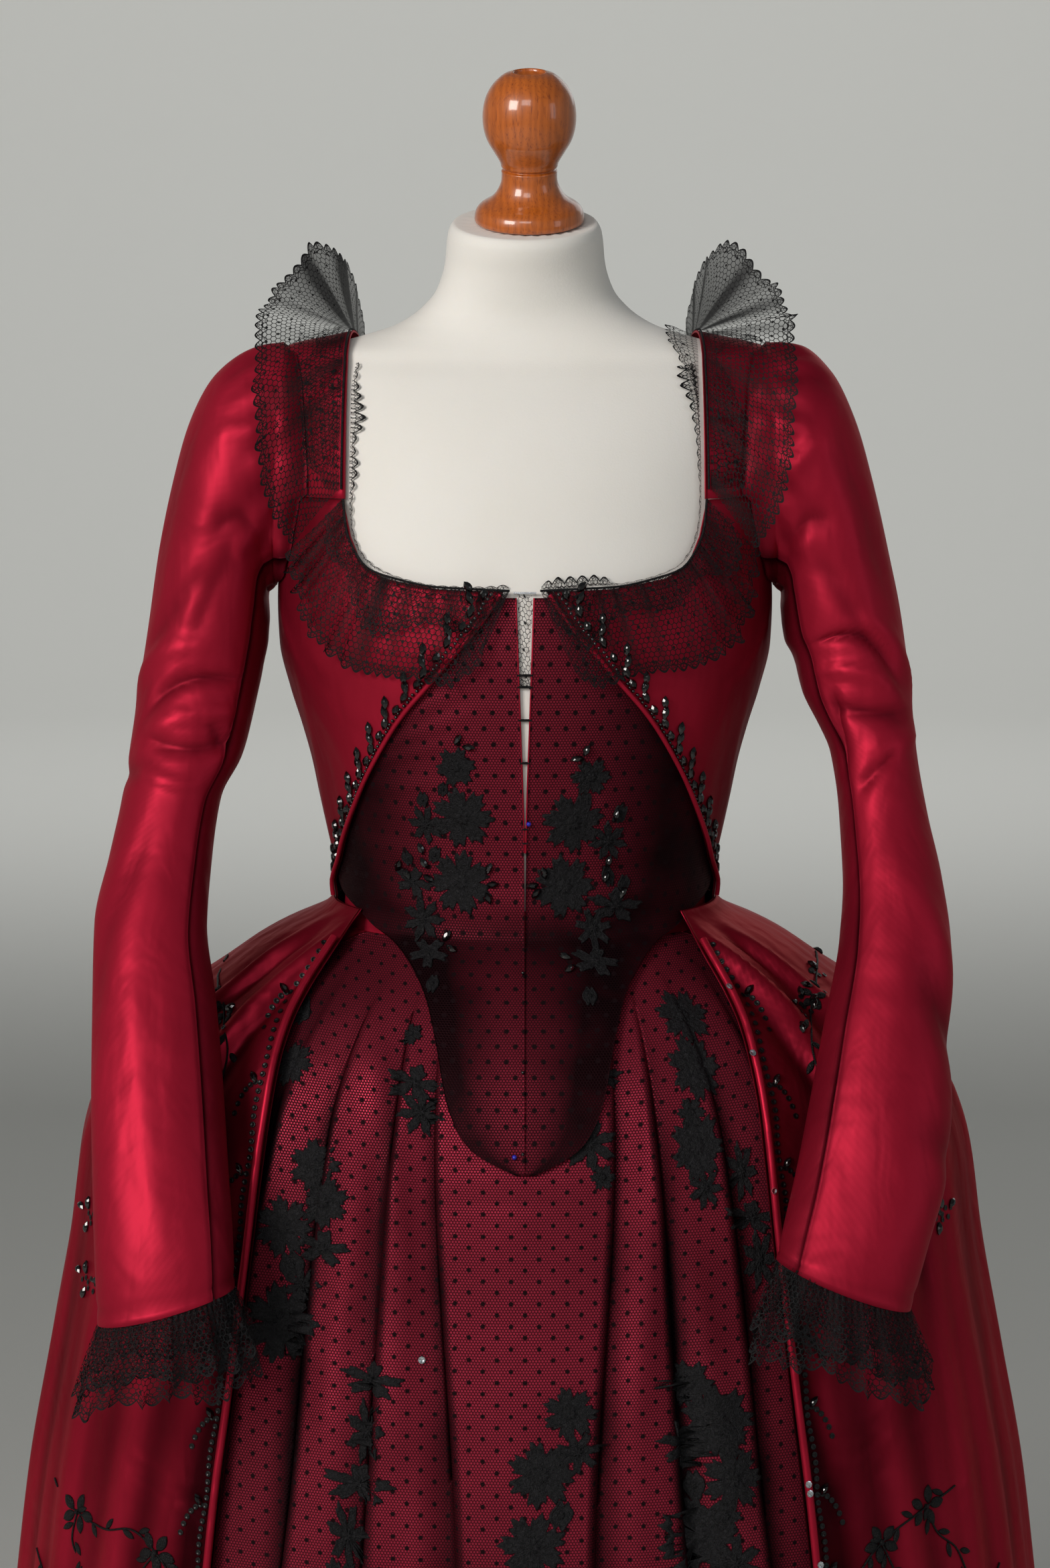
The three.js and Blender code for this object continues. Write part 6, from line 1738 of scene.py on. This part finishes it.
# %% Sequin chains, side sprigs and clusters
SILVER_SEQUINS = table("x z", [[134, 991], [149, 953], [165, 869], [187, 678], [188, 672], [195, 625], [-69, 764]])
CLUSTERS = {"right": table("x z", [[-305, 821], [-306, 778], [-212, 968]]),
            "left": table("x z", [[290, 830], [193, 975], [204, 985]])}
for side, word in SIDE_WORDS:
    panel = panels[f"overskirt_{word}"]
    chain, stones, next_sprig, rng = [], [], 990.0, np.random.default_rng(7 + side)
    for height in np.arange(1018, 40, -5.2):
        edge = float(skirt_edge[word](height)) + 10.5 + 0.8 * np.sin(height / 9)
        chain.append(spot_on(panel, side * edge, height, 90 + side * 10, SEQUIN, 0.5))
        if height < next_sprig:
            for step in range(6):
                out_mm, drop = 3.6 * (step + 1) - 0.16 * step**2, 1.6 * step + 0.5 * step**2
                chain.append(spot_on(panel, side * (edge + out_mm), height - drop, rng.uniform(0, 90), SEQUIN, 0.15))
            stones.append(spot_on(panel, side * (edge + 5), height + 3, 90 - side * 40, NAVETTE, 0.2))
            next_sprig = height - 50 - rng.uniform(-5, 5)
    for row in CLUSTERS[word]:
        for k in range(9):
            turn, far = 2.4 * k, 2.6 * np.sqrt(k)
            x, z = row["x"] + far * np.cos(turn), row["z"] + far * np.sin(turn)
            chain.append(spot_on(panel, x, z, 40 * k, SEQUIN, 0.2))
        for turn in (35, 100, 160, 250):
            way = np.radians(turn)
            stones.append(spot_on(panel, row["x"] + 9 * np.cos(way), row["z"] + 9 * np.sin(way), turn, NAVETTE, 0.2))
    hand_over(scattered(f"sequin_chain_{word}", sequin_shape, chain, black_sequin), [], "jet_stones")
    hand_over(scattered(f"jet_stones_overskirt_{word}", navette_shape, stones, jet), [], "jet_stones")

silver = []
for row in SILVER_SEQUINS:
    on = "petticoat_front" if abs(row["x"]) < 100 else f"overskirt_{'left' if row['x'] > 0 else 'right'}"
    above = 1.0 if on == "petticoat_front" else 2 * ROLL_RADIUS + 0.3
    silver.append(spot_on(panels[on], row["x"], row["z"], 0, (5.0, 5.0, 1.2), above))
hand_over(scattered("silver_sequins", sequin_shape, silver, silver_sequin), [], "silver_sequins")

# %% [markdown]
# ## Embroidered sprays
# The overskirt's sprays are worked in satin stitch: every petal and leaf is a small padded pod of
# silk thread, and corded stems join them.  The pods are scattered like the stones.  The sprays
# lie low on the sides, and smaller ones on the hips.

# %% Satin-stitch sprays
SPRAY_FLOWERS = {
    "right": table("x z size", [[-310, 629, 26], [-250, 622, 27], [-209, 972, 18], [-330, 560, 22], [-262, 540, 24],
                                [-300, 470, 26], [-338, 395, 24], [-276, 380, 26]]),
    "left": table("x z size", [[274, 645, 26], [241, 630, 25], [200, 981, 18], [318, 560, 22], [252, 540, 24],
                               [288, 470, 26], [330, 395, 24], [268, 380, 26]])}
SPRAY_STEMS = {
    "right": [[(-330, 640), (-310, 629), (-292, 626), (-270, 632), (-250, 622), (-238, 606), (-232, 590)],
              [(-310, 629), (-314, 610), (-306, 594)], [(-250, 622), (-262, 604), (-268, 590)],
              [(-222, 992), (-209, 972), (-204, 950), (-208, 930)],
              [(-345, 585), (-330, 560), (-300, 548), (-262, 540), (-246, 515)],
              [(-330, 500), (-300, 470), (-285, 440), (-290, 410), (-276, 380)],
              [(-300, 470), (-325, 430), (-338, 395)]],
    "left": [[(296, 652), (274, 645), (258, 640), (241, 630), (228, 618), (220, 600)],
             [(274, 645), (282, 626), (296, 612), (304, 594)], [(241, 630), (250, 610), (256, 592)],
             [(212, 1000), (200, 981), (196, 958), (201, 936)],
             [(332, 585), (318, 560), (290, 548), (252, 540), (238, 515)],
             [(318, 500), (288, 470), (274, 440), (280, 410), (268, 380)], [(288, 470), (314, 430), (330, 395)]]}


def smooth_path(corners, step=4.0):
    """A soft curve through (x, z) corners, read every `step` mm."""
    corners = np.array(corners, float)
    far = np.concatenate([[0], np.cumsum(np.linalg.norm(np.diff(corners, axis=0), axis=1))])
    at = np.linspace(0, far[-1], max(int(far[-1] / step), 2) + 1)
    rows = [dict(far=f, x=p[0], z=p[1]) for f, p in zip(far, corners)]
    return smooth_curve(rows, "far", "x")(at), smooth_curve(rows, "far", "z")(at)


for side, word in SIDE_WORDS:
    panel, pods, stems = panels[f"overskirt_{word}"], [], []
    for row in SPRAY_FLOWERS[word]:
        for k in range(5):
            turn = 72 * k + 20 + row["x"]
            way, reach = np.radians(turn), row["size"] * 0.30
            pods.append(spot_on(panel, row["x"] + reach * np.cos(way), row["z"] + reach * np.sin(way), turn,
                                (row["size"] * 0.5, row["size"] * 0.30, 1.7)))
        pods.append(spot_on(panel, row["x"], row["z"], 0, (4, 4, 2.6)))
    for corners in SPRAY_STEMS[word]:
        xs, zs = smooth_path(corners)
        stems.append([spot_on(panel, x, z, 0, BEAD, 0.5)[0] for x, z in zip(xs, zs)])
        for k in range(2, len(xs) - 1, 3):
            heading = np.degrees(np.arctan2(zs[k + 1] - zs[k - 1], xs[k + 1] - xs[k - 1]))
            turn = heading + (42 if k % 2 else -42)
            way = np.radians(turn)
            pods.append(spot_on(panel, xs[k] + 6 * np.cos(way), zs[k] + 6 * np.sin(way), turn, (11.5, 4.6, 1.4)))
    hand_over(scattered(f"satin_stitch_pods_{word}", petal_shape, pods, silk_black, smooth=True), [], "black_lace")
    stem_piece = swept_lines(f"satin_stitch_stems_{word}", stems, 0.75, silk_black, sides=6, step=4.0)
    hand_over(stem_piece, [], "black_lace")

# %% [markdown]
# ## Fastenings
# The stomacher closes with hooks and thread bars.  With the gown on the form, whose bust is a
# little too full for it, the top stays open, so the bars cross the gap.  Two glass-headed pins
# and three small beads sit on the line below.

# %% Bars, pins and centre-front beads
bars = []
for height in (1211.0, 1203.0, 1180.0, 1150.0, 1103.0, 1093.0):
    half = float(stomacher_inner(height)) + 1.0
    z = np.full(5, height)
    x = np.linspace(-half, half, 5)
    bars.append(form_surface.lifted(form_surface.either_side(x, z), z, 2.0 + 0 * z))
hand_over(swept_lines("thread_bars", bars, 0.9, silk_black, sides=8, step=1.0), [], "black_lace")
z = np.full(5, 1275.0 - 10)
x = np.linspace(-7.5, 7.5, 5)
hook_line = form_surface.lifted(form_surface.either_side(x, z), z, 3.2 + 0 * z)
hand_over(swept_lines("top_hook", [hook_line], 0.8, silver_sequin, sides=10, step=1.0), [], "silver_sequins")

blue_glass, tree, shader = new_finish("glass pin heads, blue", "1B1FA8", {"Roughness": 0.08, "Coat Weight": 0.5})
depth = ranged(tree, noise(tree, object_place(tree), 900.0), 0.3, 0.7, 0.0, 1.0)
wire_up(tree, shader, Base_Color=blend_colours(tree, depth, "2A2FCB", "10126E"))
heads = [spot_on(panels["stomacher_left"], 2.5, 1107, 0, (3.6, 3.6, 3.4), 0.1),
         spot_on(panels["stomacher_right"], -7, 897, 0, (3.6, 3.6, 3.4), 0.1)]
hand_over(scattered("pin_heads", bead_shape, heads, blue_glass, smooth=True), [], "jet_stones")
middle_beads = [spot_on(panels["stomacher_right"], -1.5, height, 0, (2.6, 2.6, 2.2), 0.0)
                for height in (1006, 949, 899)]
hand_over(scattered("centre_front_beads", bead_shape, middle_beads, jet, smooth=True), [], "jet_stones")

for shape in (navette_shape, bead_shape, sequin_shape, petal_shape):
    bpy.data.objects.remove(shape)

# %% [markdown]
# ## Camera, floor and light
# The camera stands at breast height in front and looks slightly down, with a portrait lens.  The
# studio is a round pale room whose floor curves up into its wall.  A large soft light from the
# left gives the satin its broad highlights and leaves the right side darker, and a weak one on
# the right keeps the shade from closing up.

# %% Camera, floor and lights
camera = placed("camera", bpy.data.cameras.new("camera"))
camera.data.lens = 85
camera.data.sensor_fit = "VERTICAL"
camera.data.sensor_height = 36
camera.location = (0, -2.598, 1.529)
camera.rotation_euler = (np.radians(81), 0, 0)
bpy.context.scene.camera = camera

# The floor curves up into a round wall 11 m away, so that no edge shows from any side.
bend = np.radians(np.arange(0, 91, 9))
COVE, SIDES = 2.5, 96
sweep = [(0.02, 0.0), (2.0, 0.0), (5.0, 0.0)]
sweep += [(8.5 + COVE * np.sin(a), COVE - COVE * np.cos(a)) for a in bend] + [(11.0, 8.0)]
turns = np.arange(SIDES) * 2 * np.pi / SIDES
corners = [(far * np.cos(a), far * np.sin(a), z) for far, z in sweep for a in turns]
ring_faces = [(SIDES * i + j, SIDES * (i + 1) + j, SIDES * (i + 1) + (j + 1) % SIDES, SIDES * i + (j + 1) % SIDES)
              for i in range(len(sweep) - 1) for j in range(SIDES)]
pale_floor, tree, shader = new_finish("studio floor, pale matt paint", "D6D6D2", {"Roughness": 0.9})
floor = plain_mesh("floor", np.array(corners) / MM, ring_faces + [tuple(range(SIDES))], pale_floor)
floor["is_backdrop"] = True

LIGHTS = table("name place aim size power colour", [
    ["key", (-2.2, -2.5, 2.6), (0, 0, 1.05), (1.3, 1.3), 78, "FFFAF5"],
    ["front", (-0.5, -3.4, 3.1), (0, 0, 0.95), (1.4, 0.9), 18, "FFFFFF"],
    ["fill", (2.8, -1.6, 1.9), (0, 0, 1.0), (0.8, 1.6), 5, "EEF4FF"],
    ["back", (1.6, 3.2, 2.8), (0, 0, 0.9), (1.6, 1.6), 5, "FFFFFF"],
    ["wall_behind", (0, 5.5, 4.2), (0, 11, 1.6), (7, 1.6), 190, "FFFFFF"],
    ["wall_left", (-5.5, 0, 4.2), (-11, 0, 1.6), (7, 1.6), 60, "FFFFFF"],
    ["wall_right", (5.5, 0, 4.2), (11, 0, 1.6), (7, 1.6), 60, "FFFFFF"],
    ["wall_before", (0, -5.5, 4.2), (0, -11, 1.6), (7, 1.6), 90, "FFFFFF"]])
for row in LIGHTS:
    lamp = bpy.data.lights.new(row["name"], "AREA")
    lamp.shape, lamp.size, lamp.size_y = "RECTANGLE", *row["size"]
    lamp.energy, lamp.color = row["power"], linear(row["colour"])[:3]
    holder = placed(row["name"], lamp)
    holder.location = row["place"]
    back = unit(np.array(row["place"]) - np.array(row["aim"]))
    right = unit(np.cross([0, 0, 1.0], back))
    holder.rotation_euler = Matrix(np.stack([right, np.cross(back, right), back], axis=1).tolist()).to_euler()
    holder.visible_camera = False

world = bpy.data.worlds.new("studio air")
world.use_nodes = True
sky = world.node_tree.nodes["Background"]
sky.inputs["Color"].default_value = linear("DDE3E6")
sky.inputs["Strength"].default_value = 0.14
bpy.context.scene.world = world
bpy.context.scene.view_settings.view_transform = "Standard"
bpy.context.scene.view_settings.look = "None"

# %% [markdown]
# ## Handing in
# The last cell counts the triangles of every piece that shows.

# %% Triangle count
triangles = sum(len(polygon.vertices) - 2 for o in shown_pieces() if o.type == "MESH" and not o.hide_render
                for polygon in o.data.polygons)
print("triangles in all:", triangles)
